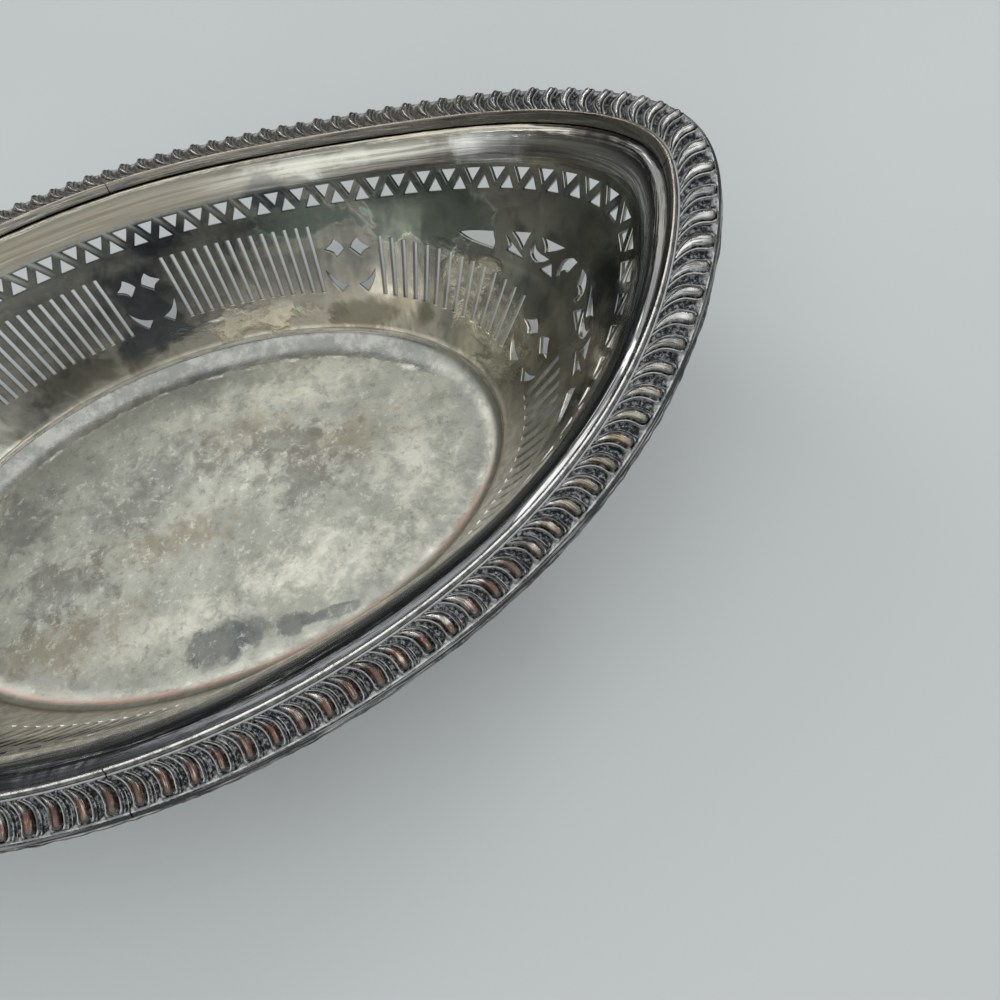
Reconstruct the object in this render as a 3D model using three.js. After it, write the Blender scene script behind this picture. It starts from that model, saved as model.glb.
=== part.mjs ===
// An oval, boat-shaped bread bowl of silver-plated copper, raised from one sheet and pierced all round its
// wall, with a die-struck gadroon border soldered to the flange of its rim.
// Millimetres, +Z up, X along the bowl. The origin is the middle of the flat underside.
import * as THREE from "three";
import { mergeVertices } from "three/addons/utils/BufferGeometryUtils.js";

// The sheet, the flat oval floor, and the step that rises round it to a ridge
const SHEET = 1.2;
const FLOOR_HALF_LENGTH = 84;
const FLOOR_HALF_WIDTH = 49.5;
const STEP_WIDTH = 7.4;
const RIDGE_HEIGHT = 5;

// The wall above the ridge: how far it leans out and how high it rises, at the sides and at the ends
const SIDE_REACH = 16.4;
const END_REACH = 40.4;
const REACH_POWER = 1.45;
const SIDE_RISE = 40.7;
const END_RISE = 59.7;
const RISE_POWER = 2;
const WALL_BOW = 0.1;
const TIP_ROUNDING = 0.08;

// The inner corner of the rim's flange: its reach from the ridge and its height above the table
const RIM_SIDE_REACH = 24.5;
const RIM_END_REACH = 46.9;
const RIM_REACH_POWER = 1.6;
const RIM_SIDE_HEIGHT = 50.9;
const RIM_END_HEIGHT = 72.8;
const RIM_HEIGHT_POWER = 1.85;
const COVE_REACH_SHARE = 0.42;
const COVE_RISE_SHARE = 0.62;
const FLANGE_WIDTH = 11.5;
const SIDE_FLANGE_SLOPE = -0.14;
const END_FLANGE_SLOPE = 0.12;

// The zigzag band of triangular holes below the cove
const ZIGZAG_PERIODS = 84;
const ZIGZAG_BASE_SHARE = 0.6;
const ZIGZAG_HOLE_HEIGHT = 3.6;
const ZIGZAG_HEIGHT = 5.3;
const ZIGZAG_MARGIN = 0.9;

// The panels of upright slots, parted by medallions. Levels are shares of the way up the wall.
const SLOTS_PER_PANEL = 14;
const MEDALLION_PITCHES = 5;
const PITCH_LEVEL = 0.2;
const PIERCING_SHIFT = 2.3;
const PANEL_FOOT = 0.12;
const PANEL_HEAD = 0.79;
const SLOT_WIDTH = 1.2;
const SLOT_FOOT_HEIGHT = 12.8;
const SLOT_HEAD = 0.744;
const END_SLOT_HEAD_LOW = 0.456;
const END_SLOT_HEAD_HIGH = 0.656;
const HEAD_MARGIN = 0.05;

// The medallions: two petals above two crescents. Their reach to each side is in pitches.
const MEDALLION_HEIGHT = 21.2;
const MEDALLION_RADIUS = 8.2;
const MEDALLION_REACH = 2.33;

// The scroll cartouche above the slots at each end
const CARTOUCHE_LEVEL = 0.665;

// The gadroon border, struck in four hollow strips, and the solder that fills them
const LOBES_PER_STRIP = 34;
const LOBE_LEAN = 0.7;
const STRIP_JOINT = 0.3;
const STRIP_INSET = 0.6;
const FLANGE_EDGE = 0.4;
const SEAT_GAP = 0.25;
const BEAD_WIDTH = 1.9;
const BEAD_OFFSET = 1.2;
const BEAD_HEIGHT = 2.7;
const GROOVE_HEIGHT = 1.3;
const LOBE_TAIL_GAP = 0.7;
const LOBE_LENGTH = 6;
const LOBE_HEAD_HEIGHT = 2.9;
const LOBE_TAIL_HEIGHT = 2;
const LOBE_VALLEY_HEIGHT = 1.3;
const FILLET_WIDTH = 0.6;
const FILLET_HEIGHT = 1.1;
const HOLLOW_HEIGHT = 0.9;
const HOLLOW_INSET = 1.1;
const HOLLOW_SLOPE = 1;
const SOLDER_GAP = 0.25;

const FLOOR_SEGMENTS = 44;
const CLOSE_LOBES = 7;
const LENGTH_SAMPLES = 1440;

const QUARTERS = ["right_back", "left_back", "left_front", "right_front"];
const RIDGE_HALF_LENGTH = FLOOR_HALF_LENGTH + STEP_WIDTH;
const RIDGE_HALF_WIDTH = FLOOR_HALF_WIDTH + STEP_WIDTH;
const FULL_TURN = 2 * Math.PI;
const HALF_MEDALLION = MEDALLION_PITCHES / 2;
const MEDALLION_SPACING = SLOTS_PER_PANEL + MEDALLION_PITCHES;
const MEDALLIONS = 8;
const ALL_PITCHES = MEDALLIONS * MEDALLION_SPACING;
const END_PANEL_LIMIT = HALF_MEDALLION + SLOTS_PER_PANEL;
const ALL_LOBES = QUARTERS.length * LOBES_PER_STRIP;

const point = (x, y) => new THREE.Vector2(x, y);

// The point that stands out from the ridge by reach, square to it in plan, at a height above the table.
function standOut(t, reach, height) {
  const normal = point(Math.cos(t) / RIDGE_HALF_LENGTH, Math.sin(t) / RIDGE_HALF_WIDTH).normalize();
  const x = RIDGE_HALF_LENGTH * Math.cos(t) + normal.x * reach;
  const y = RIDGE_HALF_WIDTH * Math.sin(t) + normal.y * reach;
  return new THREE.Vector3(x, y, height);
}

// A size that changes from the middle of a side to the pointed end of the bowl.
function alongRim(side, end, power, t) {
  const wide = Math.hypot(1, TIP_ROUNDING);
  const endness = (wide - Math.hypot(Math.sin(t), TIP_ROUNDING)) / (wide - TIP_ROUNDING);
  return side + (end - side) * endness ** power;
}

const wallReach = (t) => alongRim(SIDE_REACH, END_REACH, REACH_POWER, t);
const wallRise = (t) => alongRim(SIDE_RISE, END_RISE, RISE_POWER, t);
const wallSlant = (t) => Math.hypot(wallReach(t), wallRise(t));
const rimReach = (t) => alongRim(RIM_SIDE_REACH, RIM_END_REACH, RIM_REACH_POWER, t);
const rimHeight = (t) => alongRim(RIM_SIDE_HEIGHT, RIM_END_HEIGHT, RIM_HEIGHT_POWER, t);
const flangeSlope = (t) => alongRim(SIDE_FLANGE_SLOPE, END_FLANGE_SLOPE, 1, t);

// The step round the floor is a quarter-round cove: turn is 0 at the floor and 1 at the ridge.
// Depth is always measured through the sheet from its inner face.
function stepPoint(t, turn, depth) {
  const angle = (turn * Math.PI) / 2;
  const reach = STEP_WIDTH * (Math.sin(angle) - 1) + depth * Math.sin(angle);
  const height = SHEET + (RIDGE_HEIGHT - SHEET) * (1 - Math.cos(angle)) - depth * Math.cos(angle);
  return standOut(t, reach, height);
}

// The direction of the wall's section, outwards and up.
function wallDirection(t, level) {
  const turn = WALL_BOW * (1 - 2 * level);
  return point(wallReach(t) * (1 + turn), wallRise(t) * (1 - turn)).normalize();
}

// A point of the wall: level is 0 at the ridge and 1 at the cove below the rim.
function wallPoint(t, level, depth) {
  const bow = WALL_BOW * level * (1 - level);
  const direction = wallDirection(t, level);
  const reach = wallReach(t) * (level + bow) + direction.y * depth;
  const height = RIDGE_HEIGHT + wallRise(t) * (level - bow) - direction.x * depth;
  return standOut(t, reach, height);
}

function ridgePoint(t, depth) {
  const direction = wallDirection(t, 0);
  return standOut(t, depth, RIDGE_HEIGHT - (depth * (1 - direction.y)) / direction.x);
}

// The middle of the cove that flares from the wall out to the flange.
function covePoint(t, depth) {
  const across = rimReach(t) - wallReach(t);
  const up = rimHeight(t) - RIDGE_HEIGHT - wallRise(t);
  const direction = point(across, up).normalize();
  const reach = wallReach(t) + across * COVE_REACH_SHARE + direction.y * depth;
  const height = RIDGE_HEIGHT + wallRise(t) + up * COVE_RISE_SHARE - direction.x * depth;
  return standOut(t, reach, height);
}

// A point measured from the flange's inner corner: out, square to the rim, and up from the sloping flange.
function rimPoint(t, out, up) {
  const step = 1e-4;
  const before = standOut(t - step, rimReach(t - step), 0);
  const after = standOut(t + step, rimReach(t + step), 0);
  const along = after.sub(before).normalize();
  const corner = standOut(t, rimReach(t), rimHeight(t) + up + out * flangeSlope(t));
  return corner.add(new THREE.Vector3(along.y, -along.x, 0).multiplyScalar(out));
}

// The inner corner of the flange, where its lower face lies a little further out.
function flangeCorner(t, depth) {
  const across = (rimReach(t) - wallReach(t)) * (1 - COVE_REACH_SHARE);
  const up = (rimHeight(t) - RIDGE_HEIGHT - wallRise(t)) * (1 - COVE_RISE_SHARE);
  const turn = Math.atan2(up, across) - Math.atan(flangeSlope(t));
  return rimPoint(t, depth * Math.tan(turn / 2), -depth);
}

// Returns the station at any share of a closed curve's length, so that what repeats is evenly spaced.
function evenStations(curve) {
  const lengths = [0];
  let last = curve(0);
  for (let i = 1; i <= LENGTH_SAMPLES; i++) {
    const next = curve((FULL_TURN * i) / LENGTH_SAMPLES);
    lengths.push(lengths[i - 1] + next.distanceTo(last));
    last = next;
  }
  const perimeter = lengths[LENGTH_SAMPLES];
  const station = (share) => {
    const turns = Math.floor(share);
    const wanted = (share - turns) * perimeter;
    let low = 0;
    let high = LENGTH_SAMPLES;
    while (high - low > 1) {
      const middle = Math.floor((low + high) / 2);
      if (lengths[middle] <= wanted) low = middle;
      else high = middle;
    }
    const part = (wanted - lengths[low]) / (lengths[high] - lengths[low]);
    return FULL_TURN * (turns + (low + part) / LENGTH_SAMPLES);
  };
  return { perimeter, station };
}

const floorRow = evenStations((t) => stepPoint(t, 0, 0));
const panelRow = evenStations((t) => wallPoint(t, PITCH_LEVEL, 0));
const zigzagRow = evenStations((t) => wallPoint(t, 1, 0));
const rimRow = evenStations((t) => rimPoint(t, FLANGE_WIDTH / 2, 0));
const shifted = (row, share) => row.station(share + PIERCING_SHIFT / row.perimeter);
const panelStation = (pitches) => shifted(panelRow, pitches / ALL_PITCHES);
const zigzagStation = (periods) => shifted(zigzagRow, periods / ZIGZAG_PERIODS);
const lobeStation = (lobes) => rimRow.station(lobes / ALL_LOBES);

// Gathers the triangles of one closed surface.
class Skin {
  corners = [];

  triangle(a, b, c) {
    if (a.distanceTo(b) > 1e-6 && b.distanceTo(c) > 1e-6 && c.distanceTo(a) > 1e-6) {
      this.corners.push(a, b, c);
    }
  }

  // Joins two rows of points, which may differ in number, by the stations that both rows carry.
  zip(lower, upper, inward) {
    let i = 0;
    let k = 0;
    while (i < lower.length - 1 || k < upper.length - 1) {
      const nextLower = i < lower.length - 1 ? lower[i].station + lower[i + 1].station : Infinity;
      const nextUpper = k < upper.length - 1 ? upper[k].station + upper[k + 1].station : Infinity;
      const onLower = nextLower <= nextUpper;
      const third = onLower ? lower[i + 1].place : upper[k + 1].place;
      if (inward) this.triangle(lower[i].place, upper[k].place, third);
      else this.triangle(lower[i].place, third, upper[k].place);
      if (onLower) i++;
      else k++;
    }
  }

  // Fills an outline round its holes, facing the viewer who sees the outline counter-clockwise.
  fill(outline, holes, place, backward) {
    const flat = [outline, ...holes].map((ring) => barrelled(ring, outline));
    const all = [outline, ...holes].flat();
    const drawn = flat.flat();
    for (const corners of THREE.ShapeUtils.triangulateShape(flat[0], flat.slice(1))) {
      const turns = THREE.ShapeUtils.area(corners.map((i) => drawn[i])) > 0;
      const [a, b, c] = corners.map((i) => place(all[i]));
      if (turns !== Boolean(backward)) this.triangle(a, b, c);
      else this.triangle(a, c, b);
    }
  }

  // A pierced piece of the sheet: both of its faces, and the edges of its holes.
  sheet(outline, holes, place) {
    const rings = outline.filter((p, i) => p.distanceTo(outline[(i + 1) % outline.length]) > 1e-9);
    this.fill(rings, holes, (p) => place(p, SHEET));
    this.fill(rings, holes, (p) => place(p, 0), true);
    for (const hole of holes) {
      hole.forEach((p, i) => {
        const next = hole[(i + 1) % hole.length];
        this.triangle(place(p, 0), place(next, 0), place(p, SHEET));
        this.triangle(place(p, SHEET), place(next, 0), place(next, SHEET));
      });
    }
  }

  mesh(name, material) {
    const geometry = mergeVertices(new THREE.BufferGeometry().setFromPoints(this.corners), 1e-4);
    geometry.computeVertexNormals();
    const mesh = new THREE.Mesh(geometry, material);
    mesh.name = name;
    return mesh;
  }
}

// Swells a ring very slightly about the outline's middle, so that no three points of an edge are in line.
function barrelled(ring, outline) {
  const box = new THREE.Box2().setFromPoints(outline);
  const middle = box.getCenter(point());
  const half = box.getSize(point()).multiplyScalar(0.5);
  return ring.map((p) => {
    const across = (p.x - middle.x) / half.x;
    const up = (p.y - middle.y) / half.y;
    return point(across * (1.01 - 0.01 * up * up), up * (1.01 - 0.01 * across * across));
  });
}

const counterClockwise = (ring) => (THREE.ShapeUtils.area(ring) > 0 ? ring : [...ring].reverse());
const mirrored = (ring) => ring.map((p) => point(-p.x, p.y));

// The length of one pitch of the panels at a place on the wall.
function pitchAt(pitches, level) {
  const before = wallPoint(panelStation(pitches - 0.5), level, 0);
  return before.distanceTo(wallPoint(panelStation(pitches + 0.5), level, 0));
}

// Sets holes round a middle on the wall, in pitches and levels. They are drawn in units of the given
// width, in pitches, and height, as a share of the wall's slant.
function setMotif(holes, centre, level, width, height) {
  const set = (p) => point(centre + p.x * width, level + p.y * height);
  return holes.map((hole) => counterClockwise(hole.map(set)).reverse());
}

// A petal with hollow sides, drawn out to a point on its outer side. Medallions are drawn in their own radius.
function petal() {
  return [
    point(0.12, 0.68),
    point(0.23, 0.88),
    point(0.44, 1.05),
    point(0.56, 0.86),
    point(0.87, 0.68),
    point(0.57, 0.56),
    point(0.47, 0.37),
    point(0.32, 0.49),
  ];
}

function crescent() {
  return [
    point(0.99, -0.1),
    point(0.91, -0.44),
    point(0.77, -0.73),
    point(0.55, -1),
    point(0.22, -0.71),
    point(0.51, -0.62),
    point(0.76, -0.44),
  ];
}

// The right half of the cartouche: its holes, group by group, in tenths of a pitch and hundredths of the slant.
function cartoucheGroups() {
  const comma = [
    point(3.3, 4.2),
    point(7.9, 4.4),
    point(12.3, 1.9),
    point(13.5, -1.4),
    point(11.9, -5.3),
    point(9.6, -5.5),
    point(11.1, -3.2),
    point(9.8, -1.4),
    point(5.9, -1.1),
    point(4.4, 2.5),
  ];
  const hangingTriangle = [point(15.9, 5.7), point(32.8, 5.8), point(29, 3.3), point(27.2, 0.6), point(21.3, 2.8)];
  const smallTriangle = [point(15.2, -7.5), point(27, -6.8), point(19.8, -2.5)];
  const smile = [
    point(23, -1.4),
    point(30.9, -1),
    point(35.3, 0.3),
    point(37, 3.3),
    point(38.2, 0.3),
    point(36.4, -3.2),
    point(30.9, -4.9),
    point(26.7, -3.6),
  ];
  const wedge = [point(42, 6.1), point(54.7, 4.6), point(49.3, 1.7), point(44.3, -1.7), point(43.5, 2.5)];
  const wing = [
    point(58.9, 3.1),
    point(55.6, 0),
    point(54.1, -1.9),
    point(56, -4),
    point(40.5, -5.8),
    point(47, -3.1),
    point(53.3, -0.3),
  ];
  const blade = [
    point(68.7, 3.3),
    point(67.7, 1),
    point(65.6, -1.7),
    point(66.2, -4.7),
    point(84.6, -2.8),
    point(94.6, 0.8),
    point(88.8, 2.1),
  ];
  return [[comma], [hangingTriangle, smallTriangle, smile], [wedge, wing], [blade]];
}

// The seams between the cartouche's groups, in pitches from its middle.
const CARTOUCHE_SEAMS = [0, 1.42, 3.93, 6.05, 10.5];

// Pitches from the nearer end of the bowl.
function fromEnd(pitches) {
  const halfRound = ALL_PITCHES / 2;
  const past = ((pitches % halfRound) + halfRound) % halfRound;
  return Math.min(past, halfRound - past);
}

// The level at which the slots end: even along the sides, and sloping down under the cartouches.
function slotHead(pitches) {
  const distance = fromEnd(pitches);
  if (distance > END_PANEL_LIMIT) return SLOT_HEAD;
  const share = Math.max(distance - HALF_MEDALLION, 0) / SLOTS_PER_PANEL;
  return END_SLOT_HEAD_LOW + (END_SLOT_HEAD_HIGH - END_SLOT_HEAD_LOW) * share;
}

function cellHead(pitches) {
  return fromEnd(pitches) > END_PANEL_LIMIT - 0.5 ? PANEL_HEAD : slotHead(pitches) + HEAD_MARGIN;
}

// The upright lines that part the cells, in pitches: at the slots, the medallions and the cartouches' seams.
function columnLines() {
  const lines = [];
  for (let i = 0; i < MEDALLIONS; i++) {
    const centre = i * MEDALLION_SPACING;
    for (let k = -2; k <= 2; k++) lines.push(centre + (k * HALF_MEDALLION) / 2);
    for (let k = 1; k < SLOTS_PER_PANEL; k++) lines.push(centre + HALF_MEDALLION + k);
  }
  return lines;
}

function seamLines() {
  const inner = CARTOUCHE_SEAMS.slice(1, -1);
  return [0, ALL_PITCHES / 2].flatMap((end) => inner.flatMap((seam) => [end + seam, end - seam]));
}

// Puts columns in order round the bowl, once round from the first end.
function inOrder(columns) {
  return columns.map((x) => (x + ALL_PITCHES) % ALL_PITCHES).sort((a, b) => a - b);
}

const COLUMNS = inOrder(columnLines());
const HEAD_COLUMNS = inOrder([...columnLines(), ...seamLines()]);

// The columns between two of them, which may lie before the first end.
function within(columns, low, high) {
  const before = columns.map((x) => x - ALL_PITCHES);
  return [...before, ...columns].filter((x) => x > low - 1e-6 && x < high + 1e-6);
}

const wallPlace = (p, depth) => wallPoint(panelStation(p.x), p.y, depth);

// The outline of the cell between two columns, from the panels' foot up to their head.
function cellOutline(low, high) {
  const foot = within(COLUMNS, low, high).map((x) => point(x, PANEL_FOOT));
  const head = within(HEAD_COLUMNS, low, high).map((x) => point(x, cellHead(x)));
  return [...foot, ...head.reverse()];
}

// One upright slot, of the same width from its foot to its head.
function slotHole(middle) {
  const foot = SLOT_FOOT_HEIGHT / wallSlant(panelStation(middle));
  const head = slotHead(middle);
  const footHalf = SLOT_WIDTH / 2 / pitchAt(middle, foot);
  const headHalf = SLOT_WIDTH / 2 / pitchAt(middle, head);
  return [
    point(middle - footHalf, foot),
    point(middle - headHalf, head),
    point(middle + headHalf, head),
    point(middle + footHalf, foot),
  ];
}

function addPanels(skin) {
  for (let i = 0; i < MEDALLIONS; i++) {
    const centre = i * MEDALLION_SPACING;
    const slant = wallSlant(panelStation(centre));
    const level = MEDALLION_HEIGHT / slant;
    const right = [petal(), crescent()];
    const all = [...right, ...right.map(mirrored)];
    const holes = setMotif(all, centre, level, MEDALLION_REACH, MEDALLION_RADIUS / slant);
    skin.sheet(cellOutline(centre - HALF_MEDALLION, centre + HALF_MEDALLION), holes, wallPlace);
    for (let k = 0; k < SLOTS_PER_PANEL; k++) {
      const low = centre + HALF_MEDALLION + k;
      skin.sheet(cellOutline(low, low + 1), [slotHole(low + 0.5)], wallPlace);
    }
  }
}

// The wall between the sloping head of the end panels and the level head of the side panels.
function addCartouche(skin, end) {
  const outline = (low, high) => {
    const columns = within(HEAD_COLUMNS, low, high);
    const head = columns.map((x) => point(x, PANEL_HEAD)).reverse();
    return [...columns.map((x) => point(x, cellHead(x))), ...head];
  };
  cartoucheGroups().forEach((holes, i) => {
    const low = CARTOUCHE_SEAMS[i];
    const high = CARTOUCHE_SEAMS[i + 1];
    const right = setMotif(holes, end, CARTOUCHE_LEVEL, 0.1, 0.01);
    const left = setMotif(holes.map(mirrored), end, CARTOUCHE_LEVEL, 0.1, 0.01);
    skin.sheet(outline(end + low, end + high), right, wallPlace);
    skin.sheet(outline(end - high, end - low), left, wallPlace);
  });
  for (let x = CARTOUCHE_SEAMS.at(-1); x < END_PANEL_LIMIT; x++) {
    skin.sheet(outline(end + x, end + x + 1), [], wallPlace);
    skin.sheet(outline(end - x - 1, end - x), [], wallPlace);
  }
}

// Each cell of the zigzag holds one upright triangle and the hanging one that follows it.
function addZigzag(skin) {
  const half = ZIGZAG_BASE_SHARE / 2;
  const top = -ZIGZAG_MARGIN;
  const bottom = top - ZIGZAG_HEIGHT;
  const foot = bottom - ZIGZAG_MARGIN;
  const strut = (y) => -0.25 + ((y - (top + bottom) / 2) * half) / ZIGZAG_HOLE_HEIGHT;
  const place = (p, depth) => {
    const t = zigzagStation(p.x);
    return wallPoint(t, 1 + p.y / wallSlant(t), depth);
  };
  for (let i = 0; i < ZIGZAG_PERIODS; i++) {
    const outline = [
      point(i + strut(foot), foot),
      point(i + 1 + strut(foot), foot),
      point(i + 1 + strut(0), 0),
      point(i + strut(0), 0),
    ];
    const upright = [
      point(i - half, bottom),
      point(i, bottom + ZIGZAG_HOLE_HEIGHT),
      point(i + half, bottom),
    ];
    const hanging = [
      point(i + 0.5 - half, top),
      point(i + 0.5 + half, top),
      point(i + 0.5, top - ZIGZAG_HOLE_HEIGHT),
    ];
    skin.sheet(outline, [upright, hanging], place);
  }
  const rowAt = (y) => {
    const stations = Array.from({ length: ZIGZAG_PERIODS + 1 }, (_, i) => zigzagStation(i + strut(y)));
    return { stations, place: (t, depth) => wallPoint(t, 1 + y / wallSlant(t), depth) };
  };
  return { foot: rowAt(foot), top: rowAt(0) };
}

// Joins two rows of the sheet on both of its faces.
function joinRows(skin, lower, upper) {
  for (const depth of [0, SHEET]) {
    const placed = [lower, upper].map((row) =>
      row.stations.map((t) => ({ station: t, place: row.place(t, depth) })),
    );
    skin.zip(placed[0], placed[1], depth === 0);
  }
}

function evenly(count, stationAt) {
  return Array.from({ length: count + 1 }, (_, i) => stationAt(i));
}

function bowlBody(material) {
  const skin = new Skin();
  const floorStations = evenly(FLOOR_SEGMENTS, (i) => floorRow.station(i / FLOOR_SEGMENTS));
  const lobeStations = evenly(ALL_LOBES, lobeStation);
  const panelStations = (columns) => [...columns, ALL_PITCHES].map(panelStation);
  for (const depth of [0, SHEET]) {
    const rim = floorStations.map((t) => ({ station: t, place: stepPoint(t, 0, depth) }));
    const centre = [{ station: 0, place: new THREE.Vector3(0, 0, SHEET - depth) }];
    skin.zip(centre, rim, depth === 0);
  }
  const floorEdge = { stations: floorStations, place: (t, depth) => stepPoint(t, 0, depth) };
  const stepMiddle = { stations: floorStations, place: (t, depth) => stepPoint(t, 0.55, depth) };
  const ridge = { stations: floorStations, place: ridgePoint };
  const panelFoot = {
    stations: panelStations(COLUMNS),
    place: (t, depth) => wallPoint(t, PANEL_FOOT, depth),
  };
  const panelHead = {
    stations: panelStations(HEAD_COLUMNS),
    place: (t, depth) => wallPoint(t, PANEL_HEAD, depth),
  };
  joinRows(skin, floorEdge, stepMiddle);
  joinRows(skin, stepMiddle, ridge);
  joinRows(skin, ridge, panelFoot);
  addPanels(skin);
  addCartouche(skin, 0);
  addCartouche(skin, ALL_PITCHES / 2);
  const zigzag = addZigzag(skin);
  joinRows(skin, panelHead, zigzag.foot);
  const cove = { stations: lobeStations, place: covePoint };
  const corner = { stations: lobeStations, place: flangeCorner };
  const edge = { stations: lobeStations, place: (t, depth) => rimPoint(t, FLANGE_WIDTH, -depth) };
  joinRows(skin, zigzag.top, cove);
  joinRows(skin, cove, corner);
  joinRows(skin, corner, edge);
  const edgeRow = (depth) => lobeStations.map((t) => ({ station: t, place: edge.place(t, depth) }));
  skin.zip(edgeRow(SHEET), edgeRow(0));
  return skin.mesh("bowl_body", material);
}

const LOBE_TAIL = STRIP_INSET + BEAD_WIDTH + LOBE_TAIL_GAP;
const LOBE_HEAD = LOBE_TAIL + LOBE_LENGTH;

// The rows of a closed section that is swept along the rim, from its inner foot over its top and back below.
// Each row has its own distance out and its height over the flange, which rises to the crest on each lobe.
function borderRows() {
  const inner = STRIP_INSET;
  const outer = FLANGE_WIDTH - FLANGE_EDGE;
  const inside = inner + HOLLOW_INSET;
  const outside = outer - HOLLOW_INSET;
  return [
    { out: inner, up: SEAT_GAP, step: 1 },
    { out: inner + BEAD_OFFSET, up: BEAD_HEIGHT, step: 1 },
    { out: inner + BEAD_WIDTH, up: GROOVE_HEIGHT, step: 1 },
    { out: LOBE_TAIL, up: LOBE_VALLEY_HEIGHT, crest: LOBE_TAIL_HEIGHT, step: 0.5 },
    { out: LOBE_HEAD, up: LOBE_VALLEY_HEIGHT, crest: LOBE_HEAD_HEIGHT, step: 0.5 },
    { out: outer - FILLET_WIDTH, up: FILLET_HEIGHT, step: 1 },
    { out: outer, up: FILLET_HEIGHT, step: 1 },
    { out: outer, up: SEAT_GAP, step: 1 },
    { out: outside, up: SEAT_GAP, step: 3 },
    { out: outside - HOLLOW_SLOPE, up: HOLLOW_HEIGHT, step: 3 },
    { out: inside + HOLLOW_SLOPE, up: HOLLOW_HEIGHT, step: 3 },
    { out: inside, up: SEAT_GAP, step: 3 },
  ];
}

function solderRows() {
  const inside = STRIP_INSET + HOLLOW_INSET + SOLDER_GAP;
  const outside = FLANGE_WIDTH - FLANGE_EDGE - HOLLOW_INSET - SOLDER_GAP;
  const top = HOLLOW_HEIGHT - SOLDER_GAP;
  const slope = (HOLLOW_SLOPE * (top - SEAT_GAP)) / (HOLLOW_HEIGHT - SEAT_GAP);
  return [
    { out: inside, up: SEAT_GAP, step: 3 },
    { out: inside + slope, up: top, step: 3 },
    { out: outside - slope, up: top, step: 3 },
    { out: outside, up: SEAT_GAP, step: 3 },
  ];
}

// How many lobes away the nearer end of the bowl is.
function lobesFromEnd(lobes) {
  const past = lobes % (ALL_LOBES / 2);
  return Math.min(past, ALL_LOBES / 2 - past);
}

// How far the lobes' tails lag behind their heads at a distance out, in lobes.
function leanAt(out) {
  const share = (LOBE_HEAD - out) / LOBE_LENGTH;
  return LOBE_LEAN * Math.min(Math.max(share, 0), 1);
}

// Sweeps a section along one strip of the border, from one joint to the next, and closes its two ends.
// The columns and the joints follow the lean of the lobes, and a joint lies between two lobes.
function sweptStrip(rows, first, name, material) {
  const skin = new Skin();
  const gap = (STRIP_JOINT / 2) * (ALL_LOBES / rimRow.perimeter);
  const start = first + gap;
  const end = first + LOBES_PER_STRIP - gap;
  const placed = rows.map((row) => {
    const stepAt = (lobes) => (lobesFromEnd(lobes) < CLOSE_LOBES ? Math.min(row.step, 1) : row.step);
    const columns = [start];
    for (let lobes = first; lobes < end - 0.1; lobes += stepAt(lobes)) {
      if (lobes > start + 0.1) columns.push(lobes);
    }
    columns.push(end);
    return columns.map((lobes) => {
      const t = lobeStation(lobes - leanAt(row.out));
      const crown = 0.5 - 0.5 * Math.cos(FULL_TURN * lobes);
      const up = row.up + ((row.crest ?? row.up) - row.up) * crown;
      return { station: lobes, place: rimPoint(t, row.out, up), flat: point(row.out, up) };
    });
  });
  placed.forEach((row, i) => skin.zip(row, placed[(i + 1) % placed.length], true));
  for (const last of [false, true]) {
    const section = placed.map((row) => (last ? row.at(-1) : row[0]));
    const outline = section.map((corner) => corner.flat);
    const place = (p) => section[outline.indexOf(p)].place;
    skin.fill(outline, [], place, last);
  }
  return skin.mesh(name, material);
}

const tarnishedSilver = new THREE.MeshStandardMaterial({ color: 0x8f8f8a, roughness: 0.32, metalness: 1 });
const brightSilver = new THREE.MeshStandardMaterial({ color: 0xa9a59c, roughness: 0.24, metalness: 1 });
const solder = new THREE.MeshStandardMaterial({ color: 0x6f7072, roughness: 0.6, metalness: 1 });

const bowl = new THREE.Group();
bowl.add(bowlBody(tarnishedSilver));
QUARTERS.forEach((quarter, i) => {
  const first = i * LOBES_PER_STRIP;
  bowl.add(sweptStrip(borderRows(), first, `gadroon_border_${quarter}`, brightSilver));
  bowl.add(sweptStrip(solderRows(), first, `border_solder_${quarter}`, solder));
});

export default bowl;
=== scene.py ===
"""An oval, boat-shaped bread bowl of silver-plated copper with a pierced wall and a gadroon border.
The wall, the floor and the border are built here more finely than in the CAD part, from the same sizes.
Sizes are in millimetres, and go into the meshes in metres."""

import math
import random
from bisect import bisect_right

import bpy
import numpy as np
from mathutils import Matrix, Vector
from mathutils.geometry import delaunay_2d_cdt


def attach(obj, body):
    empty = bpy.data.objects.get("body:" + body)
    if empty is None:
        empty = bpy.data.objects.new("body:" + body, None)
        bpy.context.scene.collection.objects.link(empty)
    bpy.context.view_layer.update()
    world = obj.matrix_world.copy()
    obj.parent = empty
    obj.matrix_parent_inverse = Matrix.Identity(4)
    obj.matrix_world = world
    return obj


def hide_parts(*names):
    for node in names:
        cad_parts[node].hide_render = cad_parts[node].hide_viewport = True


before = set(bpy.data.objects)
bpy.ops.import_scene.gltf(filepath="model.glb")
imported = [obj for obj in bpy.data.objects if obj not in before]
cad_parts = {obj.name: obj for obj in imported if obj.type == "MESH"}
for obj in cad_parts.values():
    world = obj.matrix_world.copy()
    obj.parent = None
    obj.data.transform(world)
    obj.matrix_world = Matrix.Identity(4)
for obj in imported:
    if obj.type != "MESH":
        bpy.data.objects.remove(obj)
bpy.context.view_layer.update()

MM = 0.001
FULL_TURN = 2 * math.pi

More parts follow.
